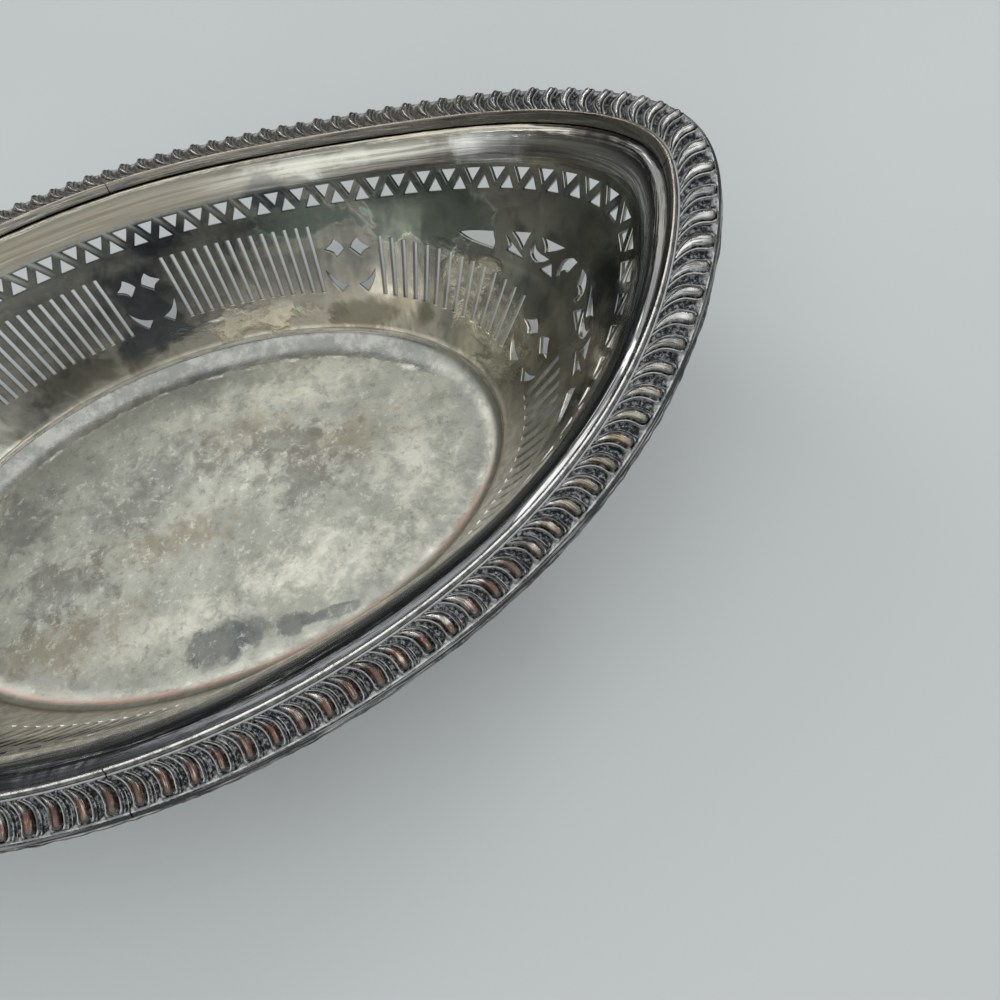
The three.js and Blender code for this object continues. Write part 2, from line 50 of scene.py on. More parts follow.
# The sheet: its floor, the step round it, the wall, the cove and the rim's flange
SHEET = 1.2
FLOOR_HALF_LENGTH = 84
FLOOR_HALF_WIDTH = 49.5
STEP_WIDTH = 7.4
RIDGE_HEIGHT = 5
WALL_BOW = 0.1
TIP_ROUNDING = 0.08
COVE_REACH_SHARE = 0.42
COVE_RISE_SHARE = 0.62
FLANGE_WIDTH = 11.5

# The piercing
ZIGZAG_PERIODS = 84
ZIGZAG_BASE_SHARE = 0.6
ZIGZAG_HOLE_HEIGHT = 3.6
ZIGZAG_HEIGHT = 5.3
ZIGZAG_MARGIN = 0.9
STRUT_SHIFT = -0.25
SLOTS_PER_PANEL = 14
MEDALLION_PITCHES = 5
PITCH_LEVEL = 0.2
PIERCING_SHIFT = 2.3
PANEL_FOOT = 0.12
PANEL_HEAD = 0.79
SLOT_WIDTH = 1.2
SLOT_FOOT_HEIGHT = 12.8
SLOT_HEAD = 0.744
END_SLOT_HEAD_LOW = 0.456
END_SLOT_HEAD_HIGH = 0.656
HEAD_MARGIN = 0.05
MEDALLION_HEIGHT = 21.2
MEDALLION_RADIUS = 8.2
MEDALLION_REACH = 2.33
CARTOUCHE_LEVEL = 0.665
CARTOUCHE_SEAMS = [0, 1.42, 3.93, 6.05, 10.5]
CELL_LEVEL = 0.4
UPPER_CELL_LEVEL = 0.6
HOLE_CHAMFER = 0.18
SHARPEST_LEAN = 0.8
SHARP_TURN = math.radians(62)
INNER_SPACING = 2.5
STAGGER = 0.13
STRAIGHT_TURN = math.radians(0.5)
STRAIGHT_BOW = 0.02
CUT_TOLERANCE = 1e-7

# The border
LOBES_PER_STRIP = 34
STRIP_JOINT = 0.3
STRIP_INSET = 0.2
FLANGE_EDGE = 0.4
SEAT_GAP = 0.25
HOLLOW_INSET = 1.1
HOLLOW_SLOPE = 1
HOLLOW_HEIGHT = 0.9

QUARTERS = ["right_back", "left_back", "left_front", "right_front"]
RIDGE_HALF_LENGTH = FLOOR_HALF_LENGTH + STEP_WIDTH
RIDGE_HALF_WIDTH = FLOOR_HALF_WIDTH + STEP_WIDTH
HALF_MEDALLION = MEDALLION_PITCHES / 2
MEDALLION_SPACING = SLOTS_PER_PANEL + MEDALLION_PITCHES
MEDALLIONS = 8
ALL_PITCHES = MEDALLIONS * MEDALLION_SPACING
END_PANEL_LIMIT = HALF_MEDALLION + SLOTS_PER_PANEL
ALL_LOBES = len(QUARTERS) * LOBES_PER_STRIP
LENGTH_SAMPLES = 1440


def stand_out(t, reach, height):
    """The point that stands out from the ridge by reach, square to it in plan."""
    across = math.cos(t) / RIDGE_HALF_LENGTH
    along = math.sin(t) / RIDGE_HALF_WIDTH
    length = math.hypot(across, along)
    x = RIDGE_HALF_LENGTH * math.cos(t) + across / length * reach
    y = RIDGE_HALF_WIDTH * math.sin(t) + along / length * reach
    return Vector((x, y, height))


def rim_size(side, end, power):
    """A size at each station, which changes from the middle of a side to the pointed end."""
    wide = math.hypot(1, TIP_ROUNDING)

    def size(t):
        endness = (wide - math.hypot(math.sin(t), TIP_ROUNDING)) / (wide - TIP_ROUNDING)
        return side + (end - side) * max(endness, 0) ** power

    return size


wall_reach = rim_size(side=16.4, end=40.4, power=1.45)
wall_rise = rim_size(side=40.7, end=59.7, power=2)
rim_reach = rim_size(side=24.5, end=46.9, power=1.6)
rim_height = rim_size(side=50.9, end=72.8, power=1.85)
flange_slope = rim_size(side=-0.14, end=0.12, power=1)


def wall_slant(t):
    return math.hypot(wall_reach(t), wall_rise(t))


def step_point(t, turn, depth):
    """The quarter-round step: turn is 0 at the floor and 1 at the ridge."""
    angle = turn * math.pi / 2
    reach = STEP_WIDTH * (math.sin(angle) - 1) + depth * math.sin(angle)
    height = SHEET + (RIDGE_HEIGHT - SHEET) * (1 - math.cos(angle)) - depth * math.cos(angle)
    return stand_out(t, reach, height)


def wall_direction(t, level):
    turn = WALL_BOW * (1 - 2 * level)
    return Vector((wall_reach(t) * (1 + turn), wall_rise(t) * (1 - turn))).normalized()


def wall_point(t, level, depth):
    """Level is 0 at the ridge and 1 at the cove below the rim; depth goes through the sheet."""
    bow = WALL_BOW * level * (1 - level)
    direction = wall_direction(t, level)
    reach = wall_reach(t) * (level + bow) + direction.y * depth
    height = RIDGE_HEIGHT + wall_rise(t) * (level - bow) - direction.x * depth
    return stand_out(t, reach, height)


def ridge_point(t, depth):
    direction = wall_direction(t, 0)
    return stand_out(t, depth, RIDGE_HEIGHT - depth * (1 - direction.y) / direction.x)


def cove_point(t, share, depth):
    """The cove flares from the wall, share 0, out to the flange's corner, share 1, in one smooth bend."""
    end = Vector((rim_reach(t) - wall_reach(t), rim_height(t) - RIDGE_HEIGHT - wall_rise(t)))
    middle = Vector((end.x * COVE_REACH_SHARE, end.y * COVE_RISE_SHARE))
    pull = 2 * middle - end / 2
    spot = 2 * share * (1 - share) * pull + share * share * end
    slope = 2 * (1 - share) * pull + 2 * share * (end - pull)
    direction = slope.normalized()
    reach = wall_reach(t) + spot.x + direction.y * depth
    height = RIDGE_HEIGHT + wall_rise(t) + spot.y - direction.x * depth
    return stand_out(t, reach, height)


def rim_outward(t):
    step = 1e-4
    before = stand_out(t - step, rim_reach(t - step), 0)
    after = stand_out(t + step, rim_reach(t + step), 0)
    along = (after - before).normalized()
    return Vector((along.y, -along.x, 0))


def rim_point(t, out, up):
    """A point measured from the flange's inner corner: out, square to the rim, and up from the flange."""
    corner = stand_out(t, rim_reach(t), rim_height(t) + up + out * flange_slope(t))
    return corner + rim_outward(t) * out


class EvenStations:
    """The station at any share of a closed curve's length, so that what repeats is evenly spaced."""

    def __init__(self, curve):
        self.lengths = [0]
        last = curve(0)
        for i in range(1, LENGTH_SAMPLES + 1):
            here = curve(FULL_TURN * i / LENGTH_SAMPLES)
            self.lengths.append(self.lengths[-1] + (here - last).length)
            last = here
        self.perimeter = self.lengths[-1]

    def stations(self, count):
        return [self.station(i / count) for i in range(count + 1)]

    def station(self, share):
        turns = math.floor(share)
        wanted = (share - turns) * self.perimeter
        low = min(bisect_right(self.lengths, wanted), LENGTH_SAMPLES) - 1
        part = (wanted - self.lengths[low]) / (self.lengths[low + 1] - self.lengths[low])
        return FULL_TURN * (turns + (low + part) / LENGTH_SAMPLES)


floor_row = EvenStations(lambda t: step_point(t, 0, 0))
panel_row = EvenStations(lambda t: wall_point(t, PITCH_LEVEL, 0))
zigzag_row = EvenStations(lambda t: wall_point(t, 1, 0))
rim_row = EvenStations(lambda t: rim_point(t, FLANGE_WIDTH / 2, 0))


def panel_station(pitches):
    return panel_row.station(pitches / ALL_PITCHES + PIERCING_SHIFT / panel_row.perimeter)


def zigzag_station(periods):
    return zigzag_row.station(periods / ZIGZAG_PERIODS + PIERCING_SHIFT / zigzag_row.perimeter)


def lobe_station(lobes):
    return rim_row.station(lobes / ALL_LOBES)


def new_object(name, data):
    thing = bpy.data.objects.new(name, data)
    bpy.context.scene.collection.objects.link(thing)
    return thing


def new_piece(name, verts, faces, materials, sharp_degrees, layers):
    """A smooth mesh object. Layers are its attributes, each with one value for every point."""
    mesh = bpy.data.meshes.new(name)
    mesh.from_pydata(verts, [], faces)
    for material in materials:
        mesh.materials.append(material)
    mesh.shade_smooth()
    mesh.set_sharp_from_angle(angle=math.radians(sharp_degrees))
    for attribute, values in layers.items():
        mesh.attributes.new(attribute, "FLOAT", "POINT").data.foreach_set("value", values)
    return new_object(name, mesh)


class Skin:
    """Gathers the faces of one piece. Each face takes the material slot of the moment, and each point keeps
    a value that becomes an attribute."""

    def __init__(self):
        self.places = []
        self.values = []
        self.index = {}
        self.faces = []
        self.slots = []
        self.slot = 0

    def corner(self, place, value):
        key = tuple(round(x, 4) for x in place)
        if key not in self.index:
            self.index[key] = len(self.places)
            self.places.append(place)
            self.values.append(value)
        return self.index[key]

    def face(self, *ring, inward=False):
        ring = list(dict.fromkeys(reversed(ring) if inward else ring))
        if len(ring) > 2:
            self.faces.append(ring)
            self.slots.append(self.slot)

    def zip(self, lower, upper, inward):
        """Joins two rows of (station, corner), which may differ in number, by their stations."""
        i = k = 0
        while i < len(lower) - 1 or k < len(upper) - 1:
            next_lower = lower[i][0] + lower[i + 1][0] if i < len(lower) - 1 else math.inf
            next_upper = upper[k][0] + upper[k + 1][0] if k < len(upper) - 1 else math.inf
            on_lower = next_lower <= next_upper
            third = lower[i + 1][1] if on_lower else upper[k + 1][1]
            self.face(lower[i][1], third, upper[k][1], inward=inward)
            i, k = i + on_lower, k + (not on_lower)

    def quads(self, rows, inward):
        """Joins rows of (station, corner), which have the same number, by four-sided faces."""
        for lower, upper in zip(rows, rows[1:]):
            for i in range(len(lower) - 1):
                self.face(lower[i][1], lower[i + 1][1], upper[i + 1][1], upper[i][1], inward=inward)

    def piece(self, name, materials, sharp_degrees, attribute):
        verts = [Vector(place) * MM for place in self.places]
        piece = new_piece(name, verts, self.faces, materials, sharp_degrees, {attribute: self.values})
        piece.data.polygons.foreach_set("material_index", self.slots)
        piece.data.validate()
        return piece


def pitch_at(pitches, level):
    before = wall_point(panel_station(pitches - 0.5), level, 0)
    return (wall_point(panel_station(pitches + 0.5), level, 0) - before).length


def with_neighbours(ring):
    """Each point of a closed ring, between the one before it and the one after it."""
    points = [Vector(p) for p in ring]
    return zip(points[-1:] + points[:-1], points, points[1:] + points[:1])


def smoothed(ring):
    """Rounds a ring's blunt corners and keeps its sharp ones."""
    for _ in range(2):
        result = []
        for before, here, after in with_neighbours(ring):
            sharp = (here - before).angle(after - here) > SHARP_TURN
            result += [here] if sharp else [here.lerp(before, 0.25), here.lerp(after, 0.25)]
        ring = result
    return ring


def set_motif(holes, centre, level, width, height):
    """Sets holes on the wall, in pitches and levels. They are drawn in units of width and height."""
    return [[(centre + x * width, level + y * height) for x, y in smoothed(hole)] for hole in holes]


# The right half of a medallion's holes, a petal above a crescent, in shares of the medallion's size
PETAL = [(0.12, 0.68), (0.23, 0.88), (0.44, 1.05), (0.56, 0.86), (0.87, 0.68), (0.57, 0.56)]
PETAL += [(0.47, 0.37), (0.32, 0.49)]
CRESCENT = [(0.99, -0.1), (0.91, -0.44), (0.77, -0.73), (0.55, -1), (0.22, -0.71)]
CRESCENT += [(0.51, -0.62), (0.76, -0.44)]

# The right half of the cartouche, in its own units of tenths of a pitch and hundredths of the slant
CARTOUCHE_UNITS = [0.1, 0.01]
COMMA = [(3.3, 4.2), (7.9, 4.4), (12.3, 1.9), (13.5, -1.4), (11.9, -5.3), (9.6, -5.5), (11.1, -3.2)]
COMMA += [(9.8, -1.4), (5.9, -1.1), (4.4, 2.5)]
HANGING_TRIANGLE = [(15.9, 5.7), (32.8, 5.8), (29, 3.3), (27.2, 0.6), (21.3, 2.8)]
SMALL_TRIANGLE = [(15.2, -7.5), (27, -6.8), (19.8, -2.5)]
SMILE = [(23, -1.4), (30.9, -1), (35.3, 0.3), (37, 3.3), (38.2, 0.3), (36.4, -3.2)]
SMILE += [(30.9, -4.9), (26.7, -3.6)]
WEDGE = [(42, 6.1), (54.7, 4.6), (49.3, 1.7), (44.3, -1.7), (43.5, 2.5)]
WING = [(58.9, 3.1), (55.6, 0), (54.1, -1.9), (56, -4), (40.5, -5.8), (47, -3.1), (53.3, -0.3)]
BLADE = [(68.7, 3.3), (67.7, 1), (65.6, -1.7), (66.2, -4.7), (84.6, -2.8), (94.6, 0.8), (88.8, 2.1)]
CARTOUCHE_GROUPS = [[COMMA], [HANGING_TRIANGLE, SMALL_TRIANGLE, SMILE], [WEDGE, WING], [BLADE]]


def from_end(pitches):
    half_round = ALL_PITCHES / 2
    past = pitches % half_round
    return min(past, half_round - past)


def slot_head(pitches):
    """The level at which the slots end: even along the sides, sloping down under the cartouches."""
    distance = from_end(pitches)
    if distance > END_PANEL_LIMIT:
        return SLOT_HEAD
    share = max(distance - HALF_MEDALLION, 0) / SLOTS_PER_PANEL
    return END_SLOT_HEAD_LOW + (END_SLOT_HEAD_HIGH - END_SLOT_HEAD_LOW) * share


def cell_head(pitches):
    return PANEL_HEAD if from_end(pitches) > END_PANEL_LIMIT - 0.5 else slot_head(pitches) + HEAD_MARGIN


def slot_hole(middle):
    foot = SLOT_FOOT_HEIGHT / wall_slant(panel_station(middle))
    head = slot_head(middle)
    foot_half = SLOT_WIDTH / 2 / pitch_at(middle, foot)
    head_half = SLOT_WIDTH / 2 / pitch_at(middle, head)
    left = [(middle - foot_half, foot), (middle - head_half, head)]
    return left + [(middle + head_half, head), (middle + foot_half, foot)]


def column_lines():
    lines = []
    for i in range(MEDALLIONS):
        centre = i * MEDALLION_SPACING
        lines += [centre + k * HALF_MEDALLION / 2 for k in range(-2, 3)]
        lines += [centre + HALF_MEDALLION + k for k in range(1, SLOTS_PER_PANEL)]
    return lines


def seam_lines():
    inner = CARTOUCHE_SEAMS[1:-1]
    return [end + side * seam for end in (0, ALL_PITCHES / 2) for seam in inner for side in (1, -1)]


def in_order(columns):
    return sorted((x + ALL_PITCHES) % ALL_PITCHES for x in columns)


COLUMNS = in_order(column_lines())
HEAD_COLUMNS = in_order(column_lines() + seam_lines())


def within(columns, low, high):
    both = [x - ALL_PITCHES for x in columns] + columns
    return [x for x in both if low - 1e-6 < x < high + 1e-6]


def signed_area(ring):
    return sum(a[0] * b[1] - b[0] * a[1] for a, b in zip(ring, ring[1:] + ring[:1])) / 2


def holds(ring, x, y):
    """True if the point lies inside the ring."""
    inside = False
    for (ax, ay), (bx, by) in zip(ring, ring[1:] + ring[:1]):
        if (ay > y) != (by > y) and x < ax + (y - ay) * (bx - ax) / (by - ay):
            inside = not inside
    return inside


def widened(ring, width):
    """Moves each edge of a counter-clockwise ring outwards by width."""
    result = []
    for before, here, after in with_neighbours(ring):
        first = (here - before).normalized()
        second = (after - here).normalized()
        out = -(first.orthogonal() + second.orthogonal()).normalized()
        lean = max(-out.dot(first.orthogonal()), SHARPEST_LEAN)
        result.append(tuple(here + out * (width / lean)))
    return result


def bowed(ring, bow):
    """Bows a counter-clockwise ring's straight runs a hair inwards, so that no triangle lies flat there."""
    corners = []
    for i, (before, here, after) in enumerate(with_neighbours(ring)):
        if (here - before).angle(after - here) > STRAIGHT_TURN:
            corners.append(i)
    result = list(ring)
    for first, last in zip(corners, corners[1:] + [corners[0] + len(ring)]):
        start, end = ring[first], ring[last % len(ring)]
        length = math.dist(start, end)
        left = ((start[1] - end[1]) / length, (end[0] - start[0]) / length)
        for i in range(first + 1, last):
            x, y = ring[i % len(ring)]
            share = math.dist(start, (x, y)) / length
            push = 4 * share * (1 - share) * bow
            result[i % len(ring)] = (x + left[0] * push, y + left[1] * push)
    return result


def divided(ring, cuts):
    """Adds a point wherever an edge of the ring crosses one of the cut heights."""
    result = []
    for (ax, ay), (bx, by) in zip(ring, ring[1:] + ring[:1]):
        result.append((ax, ay))
        crossed = sorted((c for c in cuts if min(ay, by) + 1e-4 < c < max(ay, by) - 1e-4), reverse=ay > by)
        result += [(ax + (bx - ax) * (c - ay) / (by - ay), c) for c in crossed]
    return result


# The sheet's material slots
INNER, FLOOR, OUTER, EDGE = range(4)


class Plate:
    """Cuts one cell of the sheet: both faces round its holes, and the holes' chamfered edges."""

    def __init__(self, skin, place, scale, cuts=()):
        self.skin = skin
        self.place = place
        self.scale = scale
        self.cuts = cuts

    def drawn(self, ring):
        return [(x * self.scale[0], y * self.scale[1]) for x, y in ring]

    def corner(self, x, y, depth):
        return self.skin.corner(*self.place((x / self.scale[0], y / self.scale[1]), depth))

    def cut(self, outline, holes):
        outline = [p for i, p in enumerate(outline) if math.dist(p, outline[i - 1]) > 1e-9]
        outer = self.drawn(divided(outline, self.cuts))
        rings = []
        for hole in holes:
            ring = self.drawn(divided(hole, self.cuts))
            if signed_area(ring) < 0:
                ring.reverse()
            rings.append(ring)
        wide = [widened(ring, HOLE_CHAMFER) for ring in rings]
        self.fill(outer, wide)
        for ring, lip in zip(rings, wide):
            for i in range(len(ring)):
                k = (i + 1) % len(ring)
                levels = [(lip, 0), (ring, HOLE_CHAMFER), (ring, SHEET - HOLE_CHAMFER), (lip, SHEET)]
                for (upper, high), (lower, low) in zip(levels, levels[1:]):
                    spots = (*upper[i], high), (*lower[i], low), (*lower[k], low), (*upper[k], high)
                    self.skin.face(*[self.corner(*spot) for spot in spots])

    def inner_points(self, outline, holes):
        """Points between the rings, so that the sheet stays curved there."""
        xs, ys = zip(*outline)
        inside = widened(outline, -INNER_SPACING / 3)
        keep_out = [widened(hole, INNER_SPACING / 3) for hole in holes]
        result = []
        for i in range(1, math.ceil((max(xs) - min(xs)) / INNER_SPACING)):
            for k in range(1, math.ceil((max(ys) - min(ys)) / INNER_SPACING)):
                x = min(xs) + (i + STAGGER * (k % 2)) * INNER_SPACING
                y = min(ys) + k * INNER_SPACING
                if holds(inside, x, y) and not any(holds(ring, x, y) for ring in keep_out):
                    result.append((x, y))
        return result

    def fill(self, outline, holes):
        rings = [outline, *holes]
        limits = [bowed(outline, STRAIGHT_BOW)] + [bowed(hole, -STRAIGHT_BOW) for hole in holes]
        inner = self.inner_points(outline, holes)
        given = sum(rings, []) + inner
        drawn = [Vector(p) for p in sum(limits, []) + inner]
        edges = []
        for ring in rings:
            start = len(edges)
            edges += [(start + i, start + (i + 1) % len(ring)) for i in range(len(ring))]
        verts, _, triangles, sources, *_ = delaunay_2d_cdt(drawn, edges, [], 0, CUT_TOLERANCE)
        for triangle in triangles:
            x, y = sum((verts[i] for i in triangle), Vector((0, 0))) / 3
            if not holds(limits[0], x, y) or any(holds(ring, x, y) for ring in limits[1:]):
                continue
            corners = [given[sources[i][0]] for i in triangle]
            if signed_area([tuple(verts[i]) for i in triangle]) < 0:
                corners.reverse()
            for slot, depth in ((OUTER, SHEET), (INNER, 0)):
                self.skin.slot = slot
                self.skin.face(*[self.corner(x, y, depth) for x, y in corners], inward=slot == INNER)


FLOOR_STATIONS = 288
FLOOR_LEVELS = [-1.75, -1.5, -1.25, -1.12, -1.06, -1.03, -1]
STEP_LEVELS = [-0.9, -0.78, -0.64, -0.5, -0.36, -0.22, -0.1, 0]
FOOT_LEVELS = [0.02, 0.05, 0.085]
WALL_CUTS = [0.2, 0.3, 0.4, 0.5, 0.6, 0.7]
COVE_LEVELS = [1.1, 1.22, 1.35, 1.5, 1.65, 1.8, 1.93]
FLANGE_LEVEL = 2
EDGE_LEVEL = 3
RIM_STATIONS = 816
FLANGE_OUTS = [0.9, 2.5, 6, 9.5]
EDGE_ROUNDING = 0.35
EDGE_BEVEL = 0.1
EDGE_RAG = 0.32
EDGE_SEED = 5


def sheet_point(t, level, depth):
    """Level is -2 amid the floor, -1 round it, 0 at the ridge, 1 below the cove and 2 at the flange."""
    if level < -1:
        share = level + 2
        return step_point(t, 0, depth) * share + Vector((0, 0, (SHEET - depth) * (1 - share)))
    if level < 0:
        return step_point(t, level + 1, depth)
    if level == 0:
        return ridge_point(t, depth)
    return wall_point(t, level, depth) if level <= 1 else cove_point(t, level - 1, depth)


def level_rows(skin, stations, levels, depth):
    """Rows of (station, corner) round the sheet, one at each level."""
    return [[(t, skin.corner(sheet_point(t, level, depth), level)) for t in stations] for level in levels]


def pierced_wall(skin):
    """The cells of the wall: panels of slots, medallions between them, and a cartouche above each end."""
    def place(p, depth):
        return sheet_point(panel_station(p[0]), p[1], depth), p[1]

    def cell(low, high, holes, upper=False):
        """A cell of the panels or, above them, one of the cartouche's."""
        middle = (low + high) / 2
        measured = UPPER_CELL_LEVEL if upper else CELL_LEVEL
        scale = (pitch_at(middle, measured), wall_slant(panel_station(middle)))
        heads = within(HEAD_COLUMNS, low, high)
        feet = heads if upper else within(COLUMNS, low, high)
        outline = [(x, cell_head(x) if upper else PANEL_FOOT) for x in feet]
        outline += [(x, PANEL_HEAD if upper else cell_head(x)) for x in reversed(heads)]
        Plate(skin, place, scale, WALL_CUTS).cut(outline, holes)

    for i in range(MEDALLIONS):
        centre = i * MEDALLION_SPACING
        slant = wall_slant(panel_station(centre))
        holes = []
        for side in (1, -1):
            size = side * MEDALLION_REACH, MEDALLION_RADIUS / slant
            holes += set_motif([PETAL, CRESCENT], centre, MEDALLION_HEIGHT / slant, *size)
        cell(centre - HALF_MEDALLION, centre + HALF_MEDALLION, holes)
        for k in range(SLOTS_PER_PANEL):
            low = centre + HALF_MEDALLION + k
            cell(low, low + 1, [slot_hole(low + 0.5)])
    plain = np.arange(CARTOUCHE_SEAMS[-1] + 1, END_PANEL_LIMIT + 0.5).tolist()
    seams = CARTOUCHE_SEAMS + plain
    groups = CARTOUCHE_GROUPS + [[]] * len(plain)
    for end in (0, ALL_PITCHES / 2):
        for side in (1, -1):
            for holes, near, far in zip(groups, seams, seams[1:]):
                low, high = sorted((end + side * near, end + side * far))
                width, height = CARTOUCHE_UNITS
                cut = set_motif(holes, end, CARTOUCHE_LEVEL, side * width, height)
                cell(low, high, cut, upper=True)


def zigzag_band(skin):
    """Upright and hanging triangles by turns. Returns the height of the band's foot, below its top,
    and the function that gives a row of its corners."""
    period = zigzag_row.perimeter / ZIGZAG_PERIODS
    half = ZIGZAG_BASE_SHARE / 2
    top = -ZIGZAG_MARGIN
    bottom = top - ZIGZAG_HEIGHT
    foot = bottom - ZIGZAG_MARGIN

    def strut(y):
        return STRUT_SHIFT + (y - (top + bottom) / 2) * half / ZIGZAG_HOLE_HEIGHT

    def place_at(t, y, depth):
        level = 1 + y / wall_slant(t)
        return sheet_point(t, level, depth), level

    def place(p, depth):
        return place_at(zigzag_station(p[0]), p[1], depth)

    plate = Plate(skin, place, (period, 1))
    for i in range(ZIGZAG_PERIODS):
        outline = [(i + strut(foot), foot), (i + 1 + strut(foot), foot)]
        outline += [(i + 1 + strut(0), 0), (i + strut(0), 0)]
        upright = [(i - half, bottom), (i, bottom + ZIGZAG_HOLE_HEIGHT), (i + half, bottom)]
        hanging = [(i + 0.5 - half, top), (i + 0.5 + half, top), (i + 0.5, top - ZIGZAG_HOLE_HEIGHT)]
        plate.cut(outline, [upright, hanging])

    def row(y, depth):
        stations = [zigzag_station(i + strut(y)) for i in range(ZIGZAG_PERIODS + 1)]
        return [(t, skin.corner(*place_at(t, y, depth))) for t in stations]

    return foot, row


def bowl_sheet(materials):
    """The whole raised sheet. The looks read each point's level, which runs on from 3 to 4 over the edge."""
    skin = Skin()
    pierced_wall(skin)
    zigzag_foot, zigzag_at = zigzag_band(skin)
    floor_stations = floor_row.stations(FLOOR_STATIONS)
    foot_stations = [panel_station(x) for x in COLUMNS + [ALL_PITCHES]]
    head_stations = [panel_station(x) for x in HEAD_COLUMNS + [ALL_PITCHES]]
    rim_stations = rim_row.stations(RIM_STATIONS)
    flanges = []
    for depth in (0, SHEET):
        inward = depth == 0
        skin.slot = FLOOR if inward else OUTER
        rows = level_rows(skin, floor_stations, FLOOR_LEVELS + STEP_LEVELS, depth)
        centre = skin.corner(Vector((0, 0, SHEET - depth)), -2)
        for (_, a), (_, b) in zip(rows[0], rows[0][1:]):
            skin.face(centre, b, a, inward=inward)
        skin.quads(rows, inward)
        skin.slot = INNER if inward else OUTER
        rising = rows[-1:] + level_rows(skin, floor_stations, FOOT_LEVELS, depth)
        skin.quads(rising, inward)
        skin.zip(rising[-1], *level_rows(skin, foot_stations, [PANEL_FOOT], depth), inward)
        skin.zip(*level_rows(skin, head_stations, [PANEL_HEAD], depth), zigzag_at(zigzag_foot, depth), inward)
        rows = level_rows(skin, rim_stations, COVE_LEVELS, depth)
        for out in FLANGE_OUTS:
            rows.append([(t, skin.corner(rim_point(t, out, -depth), FLANGE_LEVEL)) for t in rim_stations])
        skin.zip(zigzag_at(0, depth), rows[0], inward)
        skin.quads(rows, inward)
        flanges.append(rows[-1])

    rng = random.Random(EDGE_SEED)
    wave = [rng.uniform(0, 1) for _ in range(RIM_STATIONS)]
    wave += wave[:2]
    ragged = [EDGE_RAG * (a + b) / 2 for a, b in zip(wave, wave[1:])]

    def edge_row(back, down):
        reaches = [FLANGE_WIDTH - back - rag for rag in ragged]
        level = EDGE_LEVEL + down / SHEET
        return [(t, skin.corner(rim_point(t, out, -down), level)) for t, out in zip(rim_stations, reaches)]

    upper = [(EDGE_ROUNDING, 0), (EDGE_BEVEL, EDGE_BEVEL), (0, EDGE_ROUNDING)]
    lower = [(back, SHEET - down) for back, down in reversed(upper)]
    rounding = [edge_row(back, down) for back, down in upper + lower]
    skin.slot = EDGE
    skin.quads([flanges[0], *rounding, flanges[1]], True)
    return skin.piece("bowl_sheet", materials, SHEET_SHARP, "level")


LOBE_PITCH = rim_row.perimeter / ALL_LOBES
LOBE_COLUMNS = 28
LOBE_SEED = 20
SIZE_SPREAD = 0.06
FRAMES_PER_LOBE = 8
LOBES_PAST = 3
BORDER_LAYERS = ["lobe", "offset", "flat", "out"]
STRIP_SHARP = 75
SHEET_SHARP = 35

# Heights over the flange, at distances out from its corner
BEAD_PROFILE = [(0.22, 0.45), (0.5, 1), (0.9, 1.7), (1.2, 2.3), (1.42, 2.6), (1.6, 2.7), (1.78, 2.64)]
BEAD_PROFILE += [(1.95, 2.45), (2.1, 2.15), (2.2, 1.9), (2.35, 1.8), (2.6, 1.78)]
FIELD_PROFILE = [(2.7, 1.77), (3, 1.72), (3.4, 1.7), (5, 1.45), (8, 1.08), (9.7, 1), (10, 0.9), (10.2, 1.3)]
FIELD_PROFILE += [(10.4, 1.4), (10.55, 1.15), (10.8, 0.85), (11.1, 0.75)]
FIELD_ROWS = 42
FIELD_START = 2.9
FIELD_EDGE = 11.1

# The lobes. Those in pairs are the size at the tail and how much it grows towards the head.
LOBE_TAIL = 3
HEAD_CENTRE = 8.95
SWELLING_LENGTH = 4.3
LOBE_LEAN = 0.66
LEAN_POWER = 3
LOBE_RADIUS = (0.06, 0.92)
LOBE_CREST = (0.4, 0.62)
LOBE_SHOULDER = (0.15, 0.8)

# Where things set in and are full: by the distance out, and by the distance from a lobe's outline
TAIL_RAMP = (2.7, 3.3)
HEAD_RAMP = (10.3, 10.05)
CORNER_RAMP = (10.1, 10.45)
CORNER_CLEARANCE = (0.5, 0.65)
SHOULDER_RAMP = (1.2, 0.4)
HOLLOW_RAMP = (0.6, 0.9)

# The ridge line and the groove round a lobe, by their distance from its outline, and the flat corners
RIDGE_DISTANCE = 0.42
RIDGE_WIDTH = 0.14
HOLLOW_RIDGE_WIDTH = 0.2
RIDGE_LIFT = 0.14
GROOVE_DISTANCE = 0.06
GROOVE_WIDTH = 0.12
GROOVE_DEPTH = 0.16
HOLLOW_STRETCH = 1.5
CORNER_START = 1.3
CORNER_SLANT = 1.5
CORNER_LIFT = 0.35


def rise(x, low, high):
    """0 at low and 1 at high, with a soft step between them."""
    x = np.clip((x - low) / (high - low), 0, 1)
    return x * x * (3 - 2 * x)


def hill(x, middle, width):
    return np.exp(-((x - middle) / width) ** 2)


def left_of_lobe(out):
    """The share of a lobe's length that is left up to the middle of its head."""
    return np.clip((HEAD_CENTRE - out) / (HEAD_CENTRE - LOBE_TAIL), 0, 1)


def lean(out):
    """How far, in lobes, the path of a lobe trails its head."""
    return LOBE_LEAN * left_of_lobe(out) ** LEAN_POWER


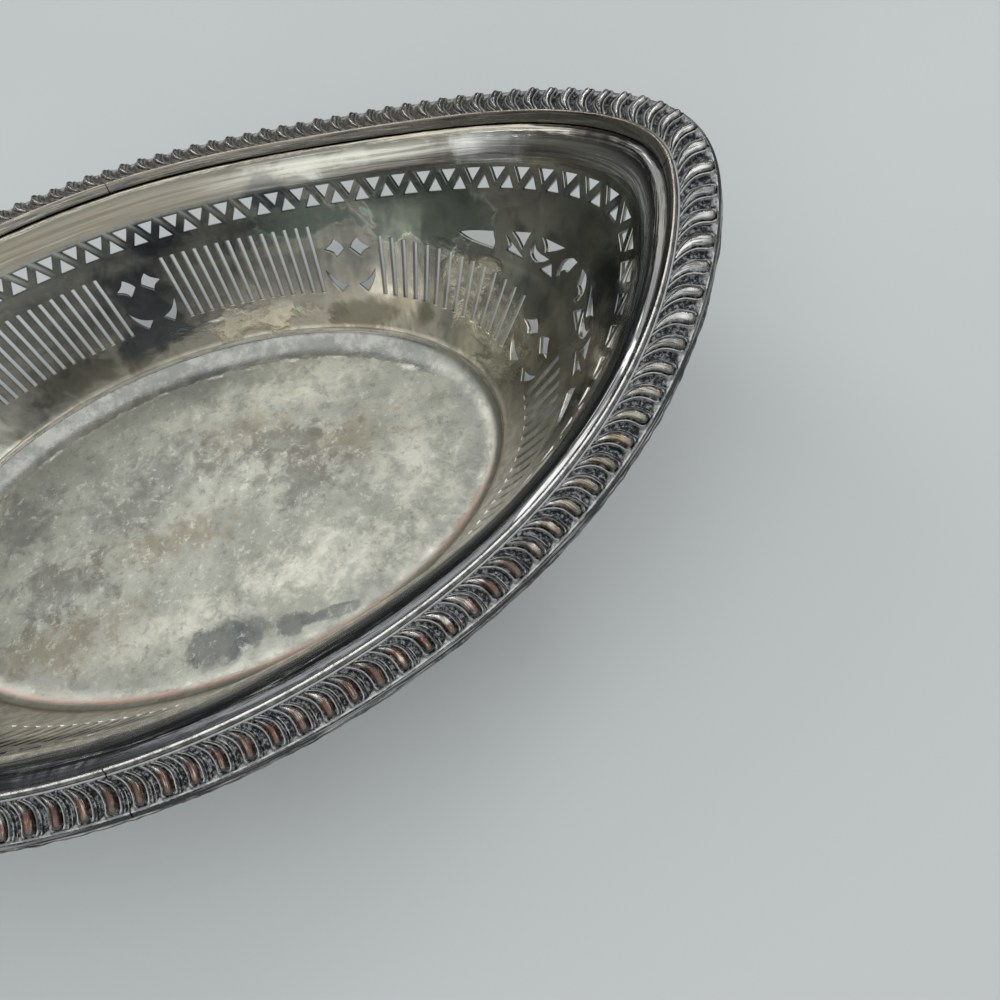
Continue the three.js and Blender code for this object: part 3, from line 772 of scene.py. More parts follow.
def relief(out, phase, size):
    """The field of lobes: height over the flange, share of the lobe's dome, distance from the lobe's outline,
    and share of the flat corner between two heads.

    The distance is stretched on the hollow side of a lobe, where only one ridge line follows it."""
    growth = np.sin(np.clip((out - LOBE_TAIL) / SWELLING_LENGTH, 0, 1) * math.pi / 2)
    sizes = [tail + more * growth for tail, more in (LOBE_RADIUS, LOBE_CREST, LOBE_SHOULDER)]
    radius, crest, shoulder = sizes[0] * size, sizes[1] * size, sizes[2]
    steepest = LOBE_LEAN * LEAN_POWER * LOBE_PITCH / (HEAD_CENTRE - LOBE_TAIL)
    slope = steepest * left_of_lobe(out) ** (LEAN_POWER - 1)
    beyond = np.maximum(out - HEAD_CENTRE, 0)
    along = (phase - np.round(phase)) * LOBE_PITCH
    distance = np.hypot(along / np.hypot(1, slope), beyond) - radius
    dome = np.sqrt(np.clip(1 - np.clip(1 + distance / radius, 0, 1) ** 2, 0, 1))
    start = rise(out, *TAIL_RAMP) * rise(out, *HEAD_RAMP)
    ridge = hill(distance, RIDGE_DISTANCE, np.where(along < 0, HOLLOW_RIDGE_WIDTH, RIDGE_WIDTH))
    lines = RIDGE_LIFT * ridge - GROOVE_DEPTH * hill(distance, GROOVE_DISTANCE, GROOVE_WIDTH)
    gap = (phase - np.floor(phase)) * LOBE_PITCH
    gap_share = np.clip((gap - CORNER_START) / (LOBE_PITCH - 2 * CORNER_START), 0, 1)
    corner = rise(out + CORNER_SLANT * gap_share, *CORNER_RAMP) * rise(distance, *CORNER_CLEARANCE)
    hollow_side = (along < 0) * rise(distance, *HOLLOW_RAMP)
    raised = crest * dome + shoulder * rise(distance, *SHOULDER_RAMP) + lines + CORNER_LIFT * corner
    height = np.interp(out, *zip(*FIELD_PROFILE)) + start * raised
    return height, dome * start, distance + HOLLOW_STRETCH * hollow_side, corner * start


def rim_frames():
    """Where the flange's corner lies, which way it faces and how it slopes, at stations counted in lobes."""
    count = (ALL_LOBES + 2 * LOBES_PAST) * FRAMES_PER_LOBE + 1
    lobes = np.arange(count) / FRAMES_PER_LOBE - LOBES_PAST
    stations = [lobe_station(x) for x in lobes]
    corners = np.array([stand_out(t, rim_reach(t), rim_height(t)) for t in stations])
    outward = np.array([rim_outward(t) for t in stations])
    outward[:, 2] = [flange_slope(t) for t in stations]
    return lobes, corners, outward


def gadroon_strip(index, name, materials, frames):
    """One struck strip: the bead, the groove and a row of leaning lobes, closed below by its hollow."""
    rng = np.random.default_rng(LOBE_SEED + index)
    lobes, corners, outward = frames
    gap = STRIP_JOINT / 2 / LOBE_PITCH
    first = index * LOBES_PER_STRIP
    phases = np.arange(LOBES_PER_STRIP * LOBE_COLUMNS + 1) / LOBE_COLUMNS
    phases[0] += gap
    phases[-1] -= gap
    sizes = 1 + SIZE_SPREAD * rng.standard_normal(LOBES_PER_STRIP + 2)
    size = sizes[np.floor(phases).astype(int)]
    rows = [(STRIP_INSET, SEAT_GAP)] + BEAD_PROFILE
    rows += [(out, None) for out in np.linspace(FIELD_START, FIELD_EDGE, FIELD_ROWS)]
    inside = STRIP_INSET + HOLLOW_INSET
    edge = FLANGE_WIDTH - FLANGE_EDGE
    outside = edge - HOLLOW_INSET
    rows += [(edge, SEAT_GAP), (outside, SEAT_GAP), (outside - HOLLOW_SLOPE, HOLLOW_HEIGHT)]
    rows += [(inside + HOLLOW_SLOPE, HOLLOW_HEIGHT), (inside, SEAT_GAP)]
    grid = []
    layers = []
    for out, up in rows:
        shares = np.zeros((3, len(phases)))
        if up is None:
            up, *shares = relief(np.full(len(phases), out), phases + 0.5, size)
        at = first + phases - lean(out)
        place = [np.interp(at, lobes, corners[:, k] + outward[:, k] * out) for k in range(3)]
        place[2] = place[2] + up
        grid.append(np.stack(place, axis=1))
        layers.append([*shares, np.full(len(phases), out)])
    count, columns = len(grid), len(phases)
    verts = np.concatenate(grid) * MM
    index_at = np.arange(count * columns).reshape(count, columns)
    below = np.roll(index_at, -1, axis=0)
    faces = np.stack([index_at[:, :-1], below[:, :-1], below[:, 1:], index_at[:, 1:]], axis=-1)
    ends = [index_at[::-1, 0].tolist(), index_at[:, -1].tolist()]
    layers = {key: np.concatenate(values) for key, values in zip(BORDER_LAYERS, zip(*layers))}
    faces = faces.reshape(-1, 4).tolist() + ends
    return new_piece(name, verts.tolist(), faces, materials, STRIP_SHARP, layers)


class Nodes:
    """Adds shader nodes to a tree. A value is a number, a colour or what another node gives."""

    def __init__(self, tree):
        self.tree = tree

    def set(self, socket, value):
        if isinstance(value, bpy.types.NodeSocket):
            self.tree.links.new(value, socket)
        elif socket.type == "RGBA":
            socket.default_value = (*value, 1)
        else:
            socket.default_value = value

    def node(self, kind, output, inputs, **settings):
        """Adds a node, fills its inputs and gives one of its outputs."""
        node = self.tree.nodes.new("ShaderNode" + kind)
        for key, value in settings.items():
            setattr(node, key, value)
        for key, value in inputs.items():
            self.set(node.inputs[key], value)
        return node.outputs[output]

    def place(self, kind="Object"):
        return self.node("TexCoord", kind, {})

    def along(self, axis, kind="Object"):
        return self.node("SeparateXYZ", axis, {"Vector": self.place(kind)})

    def position(self, scale=(1, 1, 1), turn=0.0):
        inputs = {"Vector": self.place(), "Scale": scale, "Rotation": (0, 0, turn)}
        return self.node("Mapping", "Vector", inputs)

    def attribute(self, name):
        return self.node("Attribute", "Fac", {}, attribute_name=name)

    def noise(self, vector, scale, detail=6.0, roughness=0.6, distortion=0.0):
        inputs = {"Vector": vector, "Scale": scale, "Detail": detail, "Roughness": roughness}
        return self.node("TexNoise", "Fac", {**inputs, "Distortion": distortion})

    def spread(self, value, low, high, to_low=0.0, to_high=1.0):
        inputs = {"Value": value, "From Min": low, "From Max": high, "To Min": to_low, "To Max": to_high}
        return self.node("MapRange", "Result", inputs, interpolation_type="SMOOTHSTEP")

    def math(self, operation, *values):
        return self.node("Math", "Value", dict(enumerate(values)), operation=operation)

    def plus(self, a, b):
        return self.math("ADD", a, b)

    def times(self, a, b):
        return self.math("MULTIPLY", a, b)

    def pick(self, operation, values):
        """The least or the greatest of the values."""
        result = values[0]
        for value in values[1:]:
            result = self.math(operation, result, value)
        return result

    def most(self, *values):
        return self.pick("MAXIMUM", values)

    def mix(self, factor, a, b):
        return self.node("Mix", 2, {0: factor, 6: a, 7: b}, data_type="RGBA")

    def blend(self, value, low, high, a, b):
        """The colour a where the value is low and b where it is high."""
        return self.mix(self.spread(value, low, high), a, b)

    def painted(self, colour, *coats):
        """The colour under coats of (share, colour), or of (value, low, high, most, colour), where the share
        is 0 at the low value and most at the high one."""
        for *share, coat in coats:
            if len(share) > 1:
                share = [self.spread(*share[:3], 0, share[3])]
            colour = self.mix(*share, colour, coat)
        return colour

    def grey(self, value):
        return self.node("CombineXYZ", "Vector", {"X": value, "Y": value, "Z": value})

    def lengthwise(self, level, scale, level_scale):
        """Coordinates for streaks that run round the bowl: stretched along it, and fine across it."""
        place = self.position((scale, scale, 0))
        across = self.node("CombineXYZ", "Vector", {"Z": self.times(level, level_scale)})
        return self.node("VectorMath", "Vector", {0: place, 1: across}, operation="ADD")

    def band(self, value, low, high, soft):
        """1 between low and high, and 0 outside."""
        rising = self.spread(value, low - soft, low + soft)
        return self.times(rising, self.spread(value, high - soft, high + soft, 1, 0))

    def reach(self, centre, radii, rag=0.35):
        """How far out a place is in a ragged ellipsoid, which ends at 1. Sizes are in millimetres."""
        centre, radii = [x * MM for x in centre], [x * MM for x in radii]
        inputs = {"Vector": self.place(), "Location": centre, "Scale": radii}
        place = self.node("Mapping", "Vector", inputs, vector_type="TEXTURE")
        length = self.node("VectorMath", "Value", {0: place}, operation="LENGTH")
        return self.plus(length, self.spread(self.ragged, 0.3, 0.7, -rag, rag))

    def blobs(self, places, rag=0.35, soft=0.4, share=1.0):
        """The share inside any of the ragged ellipsoids, and 0 outside."""
        nearest = self.pick("MINIMUM", [self.reach(*place, rag) for place in places])
        return self.spread(nearest, 1 - soft, 1 + soft / 2, share, 0)


class Look(Nodes):
    """Builds one material. Its ragged value, where it has one, frays the edges of blobs."""

    def __init__(self, name):
        self.material = bpy.data.materials.new(name)
        self.material.use_nodes = True
        super().__init__(self.material.node_tree)
        self.shader = self.tree.nodes["Principled BSDF"]

    def bump(self, *layers):
        """Each layer is (height, strength, distance)."""
        under = {}
        for height, strength, distance in layers:
            inputs = {"Height": height, "Strength": strength, "Distance": distance, **under}
            under = {"Normal": self.node("Bump", "Normal", inputs)}
        self.set(self.shader.inputs["Normal"], under["Normal"])

    def finish(self, colour, roughness, metallic=1.0):
        for key, value in (("Base Color", colour), ("Roughness", roughness), ("Metallic", metallic)):
            self.set(self.shader.inputs[key], value)
        return self.material


# The copper that shows where the plate has worn off the ridge round the floor
BARE_COPPER = (0.55, 0.38, 0.31)

# Where the inner wall has dark stains, green stains, olive patches, painted warm highlights and a painted
# shade at one end, and where the cove has painted reflections and painted gleams: middle and radii in
# millimetres
DARK_STAINS = [((9, 71, 41), (11, 9, 6)), ((-6, 61, 14), (18, 8, 5)), ((-4, 66, 28), (10, 9, 12))]
DARK_STAINS += [((47, 67, 46), (8, 7, 5)), ((36, 70, 52), (7, 9, 3)), ((122, -14, 51), (6, 12, 10))]
DARK_STAINS += [((106, -36, 40), (12, 9, 8)), ((-70, 50, 34), (22, 14, 12)), ((-120, -8, 46), (10, 24, 14))]
DARK_STAINS += [((-40, -66, 36), (34, 12, 14))]
GREEN_STAINS = [((92, 46, 40), (34, 16, 9)), ((52, 62, 38), (16, 10, 5))]
WARM_HIGHLIGHTS = [((95, 31, 24), (9, 9, 10)), ((99, 14, 16), (10, 14, 9)), ((26, 56, 10), (20, 12, 4))]
WARM_HIGHLIGHTS += [((-90, 30, 18), (20, 16, 10)), ((-60, -50, 12), (50, 10, 6))]
OLIVE_PLACES = [((64, 46, 10), (16, 10, 5)), ((82, 42, 13), (13, 9, 7)), ((-30, 56, 12), (24, 8, 5))]
OLIVE_PLACES += [((97, -8, 14), (8, 13, 8))]
GLEAMS = [((111, 39, 58), (14, 14, 7))]
SHADED_END = [((96, -30, 26), (10, 18, 17))]
COVE_REFLECTIONS = [((56, 74, 54), (22, 18, 6)), ((102, 46, 64), (26, 18, 9)), ((-80, 58, 54), (50, 20, 6))]


def wall_look():
    """The inner wall and the cove: silver plate tarnished in clouds, with stains, painted warm highlights,
    painted reflections and gleams in the far cove, and painted shade in the near cove, along the cove's top
    and at one end.
    """
    look = Look("tarnished_silver")
    mix, blend, spread, times, plus = look.mix, look.blend, look.spread, look.times, look.plus
    place = look.position()
    level = look.attribute("level")
    look.ragged = look.noise(place, 90, 5, 0.6, 0.6)
    clouds = look.noise(place, 26, 5, 0.55, 1.6)
    waves = look.noise(look.position((1, 1, 0.5)), 34, 3, 0.4, 0.8)
    grain = look.noise(place, 500, 4, 0.6)
    streaks = look.noise(look.position((60, 60, 6)), 8, 4, 0.55)
    swathes = look.noise(look.lengthwise(level, 13, 5), 1, 6, 0.62, 0.6)
    creases = look.noise(look.lengthwise(level, 34, 8), 1, 4, 0.55, 0.8)
    near = spread(look.along("Y"), 0.01, -0.035)
    pointed = spread(look.along("X"), 0.122, 0.142)
    green_reach = look.pick("MINIMUM", [look.reach(*stain) for stain in GREEN_STAINS])
    # The near wall, with a painted shade at the pointed end
    near_wall = look.painted(
        blend(streaks, 0.4, 0.6, (0.8, 0.77, 0.72), (0.6, 0.57, 0.52)),
        (look.blobs(SHADED_END, 0.5, 0.6, 0.65), (0.3, 0.285, 0.235)),
    )
    height = plus(level, spread(clouds, 0.3, 0.7, -0.15, 0.15))
    wall = look.painted(
        blend(height, 0.22, 0.5, (0.44, 0.425, 0.36), (0.3, 0.305, 0.27)),
        (streaks, 0.52, 0.68, 0.4, (0.18, 0.17, 0.135)),
        (swathes, 0.5, 0.62, 0.5, (0.48, 0.46, 0.39)),
        # painted warm highlights
        (look.blobs(WARM_HIGHLIGHTS, 0.6, share=0.85), (0.78, 0.74, 0.6)),
        (look.blobs(OLIVE_PLACES, 0.5, share=0.85), (0.2, 0.19, 0.145)),
        (spread(green_reach, 0.85, 1, 0.7, 0), (0.16, 0.205, 0.17)),
        (look.band(green_reach, 1, 1.05, 0.03), (0.4, 0.52, 0.44)),
        (near, near_wall),
        (look.blobs(DARK_STAINS, share=0.72), (0.115, 0.125, 0.14)),
    )
    # The far cove: a lighter base, bright patches, a lit band and gleams are painted reflections and
    # highlights; the creases are wear, and it is darker where x is below 60 mm
    lit = times(look.band(level, 1.34, 1.66, 0.1), spread(swathes, 0.62, 0.4, 0.25, 1))
    far_cove_with_reflections = look.painted(
        blend(swathes, 0.4, 0.6, (0.4, 0.38, 0.32), (0.22, 0.21, 0.18)),
        (look.blobs(COVE_REFLECTIONS, 0.5, share=0.85), (0.6, 0.59, 0.52)),
        (times(lit, spread(look.along("X"), 0.02, 0.065, 0.2, 1)), (0.7, 0.68, 0.58)),
        (look.blobs(GLEAMS, 0.5, 0.6, 0.9), (0.92, 0.91, 0.86)),
        (creases, 0.54, 0.7, 0.5, (0.19, 0.155, 0.11)),
        (creases, 0.44, 0.3, 0.6, (0.72, 0.7, 0.6)),
        (look.along("X"), 0.06, 0.015, 0.62, (0.19, 0.165, 0.118)),
    )
    # The near cove: a painted shade, lighter where x is below 75 mm as a painted reflection, with worn dark
    # and light creases
    near_cove_shade = look.painted(
        blend(clouds, 0.42, 0.6, (0.2, 0.212, 0.216), (0.13, 0.138, 0.145)),
        (look.along("X"), 0.075, 0.03, 0.6, (0.42, 0.415, 0.395)),
        (creases, 0.5, 0.66, 0.5, (0.085, 0.086, 0.088)),
        (creases, 0.43, 0.33, 0.9, (0.6, 0.605, 0.59)),
    )
    end_cove = blend(clouds, 0.4, 0.6, (0.42, 0.42, 0.41), (0.24, 0.245, 0.25))
    end_cove = mix(spread(creases, 0.42, 0.34, 0, 0.4), end_cove, (0.6, 0.6, 0.58))
    # The cove's top, just under the border, gets a painted shade: darkest at the pointed end, dark on the
    # near side, lighter on the far side, crossed by worn light creases
    near_or_end = look.most(near, pointed)
    top = mix(near_or_end, (0.2, 0.19, 0.155), mix(pointed, (0.085, 0.088, 0.09), (0.055, 0.057, 0.06)))
    top = mix(spread(creases, 0.42, 0.34, 0, 0.8), top, (0.42, 0.42, 0.4))
    cove = look.painted(
        mix(pointed, far_cove_with_reflections, end_cove),
        (near, near_cove_shade),
        # painted shade along the top of the cove
        (spread(plus(level, spread(near_or_end, 0, 1, -0.16, 0.04)), 1.45, 1.72), top),
    )
    worn_ridge = times(spread(level, 0.05, 0.02), spread(look.ragged, 0.4, 0.6, 0.3, 1))
    colour = look.painted(
        wall,
        (spread(plus(level, spread(near, 0, 1, 0, -0.28)), 0.97, 1.1), cove),
        (look.blobs(DARK_STAINS, share=0.5), (0.08, 0.09, 0.1)),
        (worn_ridge, mix(near, (0.85, 0.82, 0.72), BARE_COPPER)),
        (grain, 0.64, 0.76, 0.25, (0.18, 0.155, 0.12)),
    )
    rough = plus(spread(clouds, 0.35, 0.7, 0.11, 0.2), spread(grain, 0.4, 0.8, 0, 0.06))
    rough = plus(rough, times(near, spread(level, 0.7, 0.5, 0, 0.25)))
    ripples = times(creases, spread(level, 0.97, 1.12))
    dents = times(look.noise(place, 130, 2, 0.4, 0.5), look.blobs(WARM_HIGHLIGHTS, 0.6, 0.8))
    look.bump((waves, 0.7, 0.0011), (dents, 0.5, 0.0007), (ripples, 0.35, 0.0004), (grain, 0.08, 0.0001))
    return look.finish(colour, rough)


def outer_look():
    """The outer face: plain silver plate, cloudy with brown tarnish."""
    look = Look("outer_silver")
    spread = look.spread
    place = look.position()
    clouds = look.noise(place, 24, 5, 0.55, 1.2)
    patches = look.noise(place, 52, 8, 0.65, 1.6)
    grain = look.noise(place, 420, 4, 0.6)
    scratches = look.noise(look.position((30, 900, 60), 0.5), 6, 3, 0.5)
    colour = look.painted(
        look.blend(clouds, 0.42, 0.6, (0.5, 0.49, 0.47), (0.3, 0.3, 0.3)),
        (spread(patches, 0.56, 0.66), (0.15, 0.13, 0.11)),
        (grain, 0.62, 0.75, 0.35, (0.16, 0.13, 0.1)),
    )
    rough = look.plus(spread(patches, 0.4, 0.7, 0.18, 0.32), spread(grain, 0.4, 0.8, 0, 0.1))
    look.bump((clouds, 0.5, 0.0009), (scratches, 0.12, 0.0001), (grain, 0.12, 0.0001))
    return look.finish(colour, rough)


# On the floor, middle and radii in millimetres: painted dark reflections, dark clouds, brown stains and
# painted highlights
FLOOR_DARK_REFLECTIONS = [((-1, -43, 1), (13, 6, 6)), ((19, -44, 1), (6, 3.5, 6)), ((30, -45, 1), (10, 1.8, 6))]
FLOOR_CLOUDS = [((22, 14, 1), (18, 5, 6)), ((28, -1, 1), (14, 9, 6)), ((-12, 18, 1), (16, 10, 6))]
FLOOR_CLOUDS += [((-24, 8, 1), (14, 8, 6)), ((-50, -10, 1), (18, 9, 6)), ((-62, 16, 1), (12, 10, 6))]
FLOOR_BROWNS = [((12, 22, 1), (14, 8, 6)), ((-18, -6, 1), (28, 5, 6))]
FLOOR_BROWNS += [((44, 8, 1), (20, 8, 6)), ((-50, -28, 1), (20, 8, 6))]
FLOOR_HIGHLIGHTS = [((34, 34, 1), (36, 8, 6)), ((28, -30, 1), (24, 9, 6))]
FLOOR_HIGHLIGHTS += [((62, -4, 1), (12, 24, 6)), ((-20, -34, 1), (30, 6, 6))]


def floor_look():
    """The worn floor: frosty, scratched silver with brown and dark stains, painted dark reflections, painted
    highlights and a painted bright line inside its far edge, and a smoother step round it.
    """
    look = Look("frosty_floor")
    mix, blend, spread, times, plus = look.mix, look.blend, look.spread, look.times, look.plus
    place = look.position()
    level = look.attribute("level")
    look.ragged = look.noise(place, 150, 7, 0.7, 0.4)
    stains = look.noise(place, 30, 7, 0.62, 0.4)
    mottle = look.noise(place, 120, 6, 0.7)
    speckle = look.noise(place, 420, 5, 0.7)
    scratches_a = look.noise(look.position((20, 700, 1), 0.35), 5, 3, 0.5)
    scratches_b = look.noise(look.position((16, 800, 1), -0.6), 5, 3, 0.5)
    near = spread(look.along("Y"), 0.0, -0.03)
    edge = plus(level, spread(look.ragged, 0.3, 0.7, -0.012, 0.012))
    far = times(spread(look.along("Y"), 0.005, 0.03), spread(look.along("X"), 0.088, 0.066))
    step = times(spread(edge, -1.03, -1.01), spread(far, 0, 1, 0.3, 1))
    silver = blend(mottle, 0.4, 0.6, (0.42, 0.41, 0.38), (0.25, 0.25, 0.235))
    # A painted highlight: a bright line just inside the floor's edge, on the far side
    floor_edge_highlight = times(look.band(edge, -1.037, -1.012, 0.008), spread(mottle, 0.5, 0.62))
    ridge = plus(spread(level, -0.22, -0.08), times(near, look.band(level, -0.66, -0.5, 0.05)))
    ridge_colour = mix(near, (0.9, 0.88, 0.8), BARE_COPPER)
    # painted dark reflections, broken by the mottle
    dark_reflection = times(look.blobs(FLOOR_DARK_REFLECTIONS, 0.3, 0.25), spread(mottle, 0.3, 0.65, 0.95, 0.5))
    colour = look.painted(
        blend(stains, 0.38, 0.64, (0.42, 0.42, 0.36), (0.32, 0.32, 0.275)),
        # painted highlights
        (look.blobs(FLOOR_HIGHLIGHTS, 0.9, 1.4, 0.9), (0.64, 0.63, 0.53)),
        (mottle, 0.48, 0.7, 0.36, (0.22, 0.215, 0.18)),
        (look.blobs(FLOOR_BROWNS, 0.9, 1, 0.7), (0.25, 0.22, 0.16)),
        (look.blobs(FLOOR_CLOUDS, 0.9, 0.8, 0.55), (0.14, 0.14, 0.13)),
        (dark_reflection, (0.09, 0.1, 0.105)),
        (speckle, 0.54, 0.68, 0.4, (0.14, 0.13, 0.11)),
        (speckle, 0.44, 0.34, 0.4, (0.72, 0.71, 0.63)),
        (times(step, 0.85), silver),
        (times(floor_edge_highlight, far), (0.85, 0.83, 0.74)),
        (times(ridge, spread(mottle, 0.4, 0.55, 0.35, 1)), ridge_colour),
    )
    rough = plus(spread(step, 0, 1, 0.45, 0.09), spread(mottle, 0.3, 0.7, -0.04, 0.06))
    scratched = [(scratches_a, 0.25, 0.0001), (scratches_b, 0.25, 0.0001)]
    look.bump((stains, 0.25, 0.0006), *scratched, (speckle, 0.5, 0.00014))
    return look.finish(colour, rough)


def edge_look():
    """The thin edge outside the border: dark, rough and worn in lines that follow it."""
    look = Look("dark_edge")
    worn = look.noise(look.position(), 260, 6, 0.7)
    lines = look.noise(look.lengthwise(look.attribute("level"), 90, 5), 1, 5, 0.65)
    colour = look.blend(worn, 0.42, 0.66, (0.045, 0.045, 0.044), (0.2, 0.2, 0.195))
    colour = look.mix(look.spread(lines, 0.5, 0.6, 0, 0.85), colour, (0.42, 0.41, 0.4))
    look.bump((worn, 0.6, 0.0003), (lines, 0.5, 0.0003))
    return look.finish(colour, look.spread(worn, 0.3, 0.7, 0.5, 0.35))


def border_look():
    """The border: bright lobes and ridge lines, stippled dark hollows, and copper where the plate is worn,
    with painted highlights on the bead's crest and on the copper, and painted shade on the lobes' heads.
    """
    look = Look("worn_border")
    mix, blend, spread, times, band = look.mix, look.blend, look.spread, look.times, look.band
    place = look.position()
    lobe, offset, flat, out = [look.attribute(name) for name in BORDER_LAYERS]
    stipple = look.noise(place, 1300, 4, 0.75)
    patches = look.noise(place, 75, 4, 0.6)
    breaks = look.noise(place, 420, 4, 0.7)
    rub_and_sheen_streaks = look.noise(look.lengthwise(offset, 220, 3.2), 1, 4, 0.6)
    rim_lines = look.noise(look.lengthwise(out, 60, 5), 1, 4, 0.6)
    near = spread(look.along("Y"), 0.0, -0.05)
    far = spread(look.along("Y"), 0.045, 0.065)
    field = band(out, 2.8, 9.9, 0.2)
    wave = look.math("COSINE", times(look.plus(offset, -0.46), 14.6))
    ring = times(band(offset, 0.3, 0.62, 0.08), spread(breaks, 0.3, 0.42, 0.6, 1))
    fine_lines = times(band(offset, 0.7, 1.5, 0.12), spread(wave, 0.1, 0.8))
    fine_lines = times(fine_lines, spread(breaks, 0.42, 0.58, 0.1, 0.85))
    lines = times(field, look.most(ring, fine_lines))
    hollow = blend(stipple, 0.46, 0.62, (0.022, 0.024, 0.026), (0.26, 0.265, 0.27))
    hollow = mix(far, hollow, blend(stipple, 0.4, 0.6, (0.1, 0.095, 0.085), (0.26, 0.25, 0.22)))
    plain = look.most(times(flat, spread(stipple, 0.4, 0.55, 0.4, 1)), band(out, 2.4, 2.75, 0.12))
    silver = blend(patches, 0.4, 0.62, (0.8, 0.785, 0.75), (0.34, 0.34, 0.33))
    gold = blend(patches, 0.35, 0.6, (0.3, 0.235, 0.14), (0.42, 0.4, 0.34))
    gold = blend(out, 4, 5.5, silver, gold)
    copper = blend(breaks, 0.4, 0.65, (0.2, 0.1, 0.07), (0.1, 0.06, 0.045))
    # painted highlight streaks along the copper
    copper = mix(spread(rub_and_sheen_streaks, 0.56, 0.66, 0, 0.8), copper, (0.62, 0.48, 0.39))
    copper = mix(times(spread(patches, 0.36, 0.48), spread(out, 4.2, 6.2)), silver, copper)
    worn = blend(look.along("X"), 0.07, 0.115, copper, gold)
    worn = blend(look.along("X"), 0.115, 0.13, worn, silver)
    dome = look.painted(
        silver,
        (times(far, 0.75), (0.4, 0.38, 0.335)),
        (near, worn),
        (rub_and_sheen_streaks, 0.5, 0.42, 0.75, (0.08, 0.078, 0.074)),
        # painted shade on the lobes' heads, which face outwards and down
        (out, 7.8, 9.3, 0.7, (0.13, 0.11, 0.095)),
    )
    slope = look.painted(
        mix(near, (0.25, 0.235, 0.19), (0.24, 0.25, 0.265)),
        (rim_lines, 0.5, 0.6, 0.8, (0.09, 0.09, 0.09)),
        (rim_lines, 0.42, 0.36, 0.7, (0.5, 0.49, 0.46)),
    )
    # The bead's crest: a painted highlight line on the near side, brownish on the far side, broken in patches
    crest = mix(near, (0.42, 0.35, 0.27), (0.78, 0.77, 0.74))
    crest = mix(spread(breaks, 0.5, 0.62, 0, 0.6), crest, (0.22, 0.21, 0.19))
    colour = look.painted(
        hollow,
        (times(lines, spread(far, 0, 1, 1, 0.45)), (0.6, 0.6, 0.57)),
        (plain, (0.42, 0.42, 0.41)),
        (spread(lobe, 0.12, 0.5), dome),
        (spread(out, 1.45, 1.3), slope),
        (band(out, 1.35, 1.85, 0.06), crest),
        (band(out, 1.85, 2.25, 0.04), blend(breaks, 0.4, 0.6, (0.42, 0.42, 0.4), (0.2, 0.2, 0.19))),
        (band(out, 2.22, 2.36, 0.05), (0.04, 0.04, 0.04)),
        (band(out, 10.2, 10.45, 0.1), (0.5, 0.5, 0.48)),
        (spread(out, 10.5, 10.7), blend(rim_lines, 0.48, 0.6, (0.06, 0.06, 0.058), (0.36, 0.36, 0.35))),
    )
    smooth = look.most(spread(lobe, 0.1, 0.4), band(out, 0, 1.9, 0.1), band(out, 10.1, 10.5, 0.1))
    rough = mix(smooth, (0.5, 0.5, 0.5), look.grey(spread(rub_and_sheen_streaks, 0.35, 0.6, 0.24, 0.1)))
    fine = times(wave, times(field, band(offset, 0.2, 1.6, 0.1)))
    look.bump((fine, 0.6, 0.00012), (stipple, 0.6, 0.00016), (rub_and_sheen_streaks, 0.3, 0.0002), (rim_lines, 0.3, 0.0002))
    return look.finish(colour, rough)


def solder_look():
    look = Look("grey_solder")
    lumps = look.noise(look.position(), 300, 5, 0.6)
    colour = look.blend(lumps, 0.35, 0.7, (0.3, 0.3, 0.31), (0.16, 0.16, 0.17))
    look.bump((lumps, 0.5, 0.0002))
    return look.finish(colour, look.spread(lumps, 0.3, 0.7, 0.45, 0.7))


sheet = bowl_sheet([wall_look(), floor_look(), outer_look(), edge_look()])
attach(sheet, "root")
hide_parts("bowl_body")

frames = rim_frames()
border = border_look()
for number, quarter in enumerate(QUARTERS):
    strip = gadroon_strip(number, f"gadroon_strip_{quarter}", [border], frames)
    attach(strip, "root")
    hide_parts(f"gadroon_border_{quarter}")

solder = solder_look()
for quarter in QUARTERS:
    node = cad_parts[f"border_solder_{quarter}"]
    for slot in node.material_slots:
        slot.material = solder

# The studio, in metres
TABLE_REACH = 4.0
LAMP_TARGET = Vector((0.05, 0, 0))
SKY_TILT = -0.4

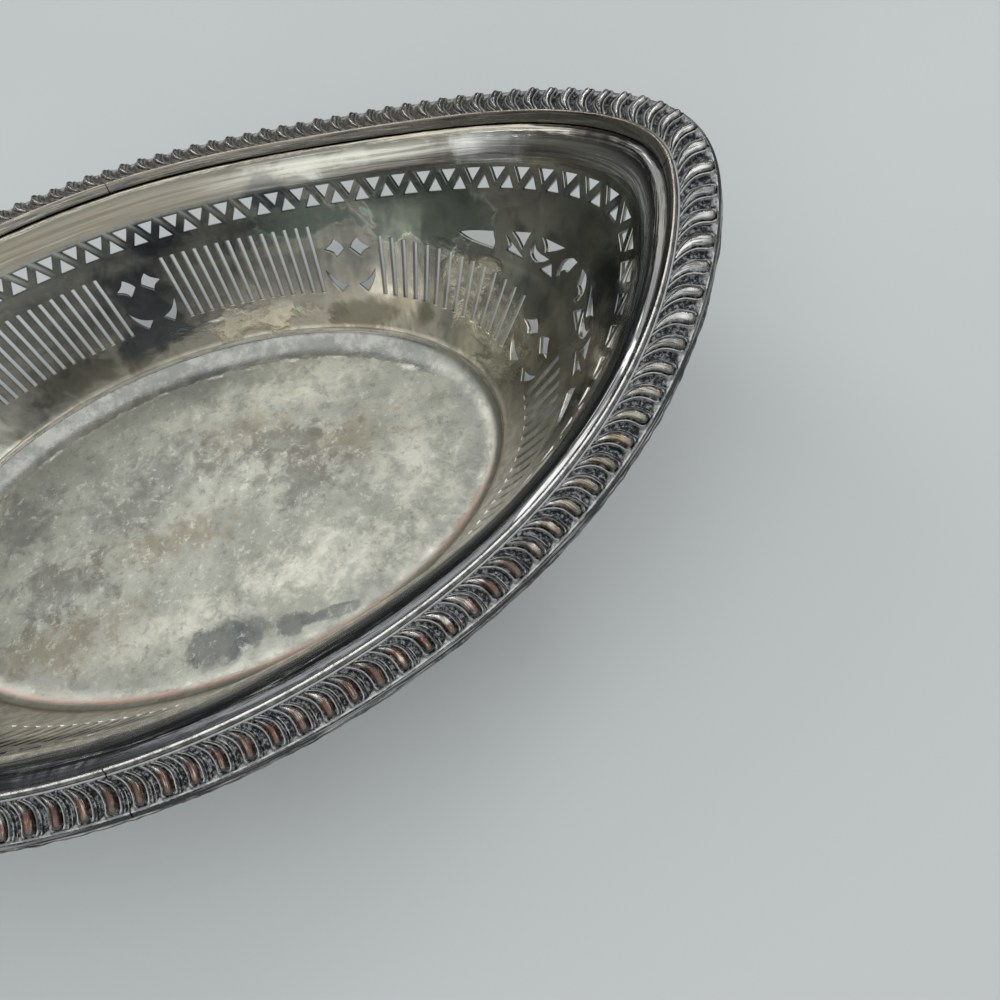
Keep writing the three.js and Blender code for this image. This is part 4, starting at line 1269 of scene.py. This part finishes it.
table_look = Look("pale_table")
table_clouds = table_look.noise(table_look.position(), 3, 3, 0.5)
table_colour = table_look.mix(table_clouds, (0.54, 0.56, 0.555), (0.58, 0.6, 0.595))
table_look.finish(table_colour, table_look.spread(table_clouds, 0.3, 0.7, 0.45, 0.6), 0.0)
table_corners = [(x * TABLE_REACH, y * TABLE_REACH, 0) for x, y in ((-1, -1), (1, -1), (1, 1), (-1, 1))]
table_top = new_piece("table_top", table_corners, [(0, 1, 2, 3)], [table_look.material], SHEET_SHARP, {})


def area_lamp(name, place, size, power):
    lamp = bpy.data.lights.new(name, "AREA")
    lamp.shape = "SQUARE"
    lamp.size = size
    lamp.energy = power
    holder = new_object(name, lamp)
    holder.location = place
    holder.rotation_mode = "QUATERNION"
    holder.rotation_quaternion = (LAMP_TARGET - Vector(place)).to_track_quat("-Z", "Y")


area_lamp("key_lamp", (-0.5, 0.9, 1.0), 0.5, 2.6)
area_lamp("fill_lamp", (0.9, 0.7, 0.9), 0.4, 2.2)

world = bpy.data.worlds.new("soft_studio")
bpy.context.scene.world = world
world.use_nodes = True
sky = Nodes(world.node_tree)
tilted = {0: sky.along("Y", "Generated"), 1: SKY_TILT, 2: sky.along("Z", "Generated")}
height = sky.node("Math", "Value", tilted, operation="MULTIPLY_ADD")
background = sky.tree.nodes["Background"]
sky.set(background.inputs["Strength"], sky.spread(height, 0.33, 0.85, 0.12, 1.2))
sky.set(background.inputs["Color"], (0.95, 0.98, 1))

CAMERA_PLACE = Vector((85.588, -125.292, 189.819))
CAMERA_TARGET = Vector((83.397, -43.408, 30.0))
CAMERA_ROLL = math.radians(-19.826)
FOCAL_PIXELS = 751
FRAME_PIXELS = 1000

camera = bpy.data.cameras.new("camera")
camera.sensor_width = 36
camera.lens = camera.sensor_width * FOCAL_PIXELS / FRAME_PIXELS
camera.clip_start = 0.01
camera.clip_end = 20
backward = (CAMERA_PLACE - CAMERA_TARGET).normalized()
level = Vector((0, 0, 1)).cross(backward).normalized()
upright = backward.cross(level)
right = level * math.cos(CAMERA_ROLL) + upright * math.sin(CAMERA_ROLL)
top = upright * math.cos(CAMERA_ROLL) - level * math.sin(CAMERA_ROLL)
turn = Matrix((right, top, backward)).transposed().to_4x4()
holder = new_object("camera", camera)
holder.matrix_world = Matrix.Translation(CAMERA_PLACE * MM) @ turn
bpy.context.scene.camera = holder
bpy.context.scene.view_settings.view_transform = "Standard"
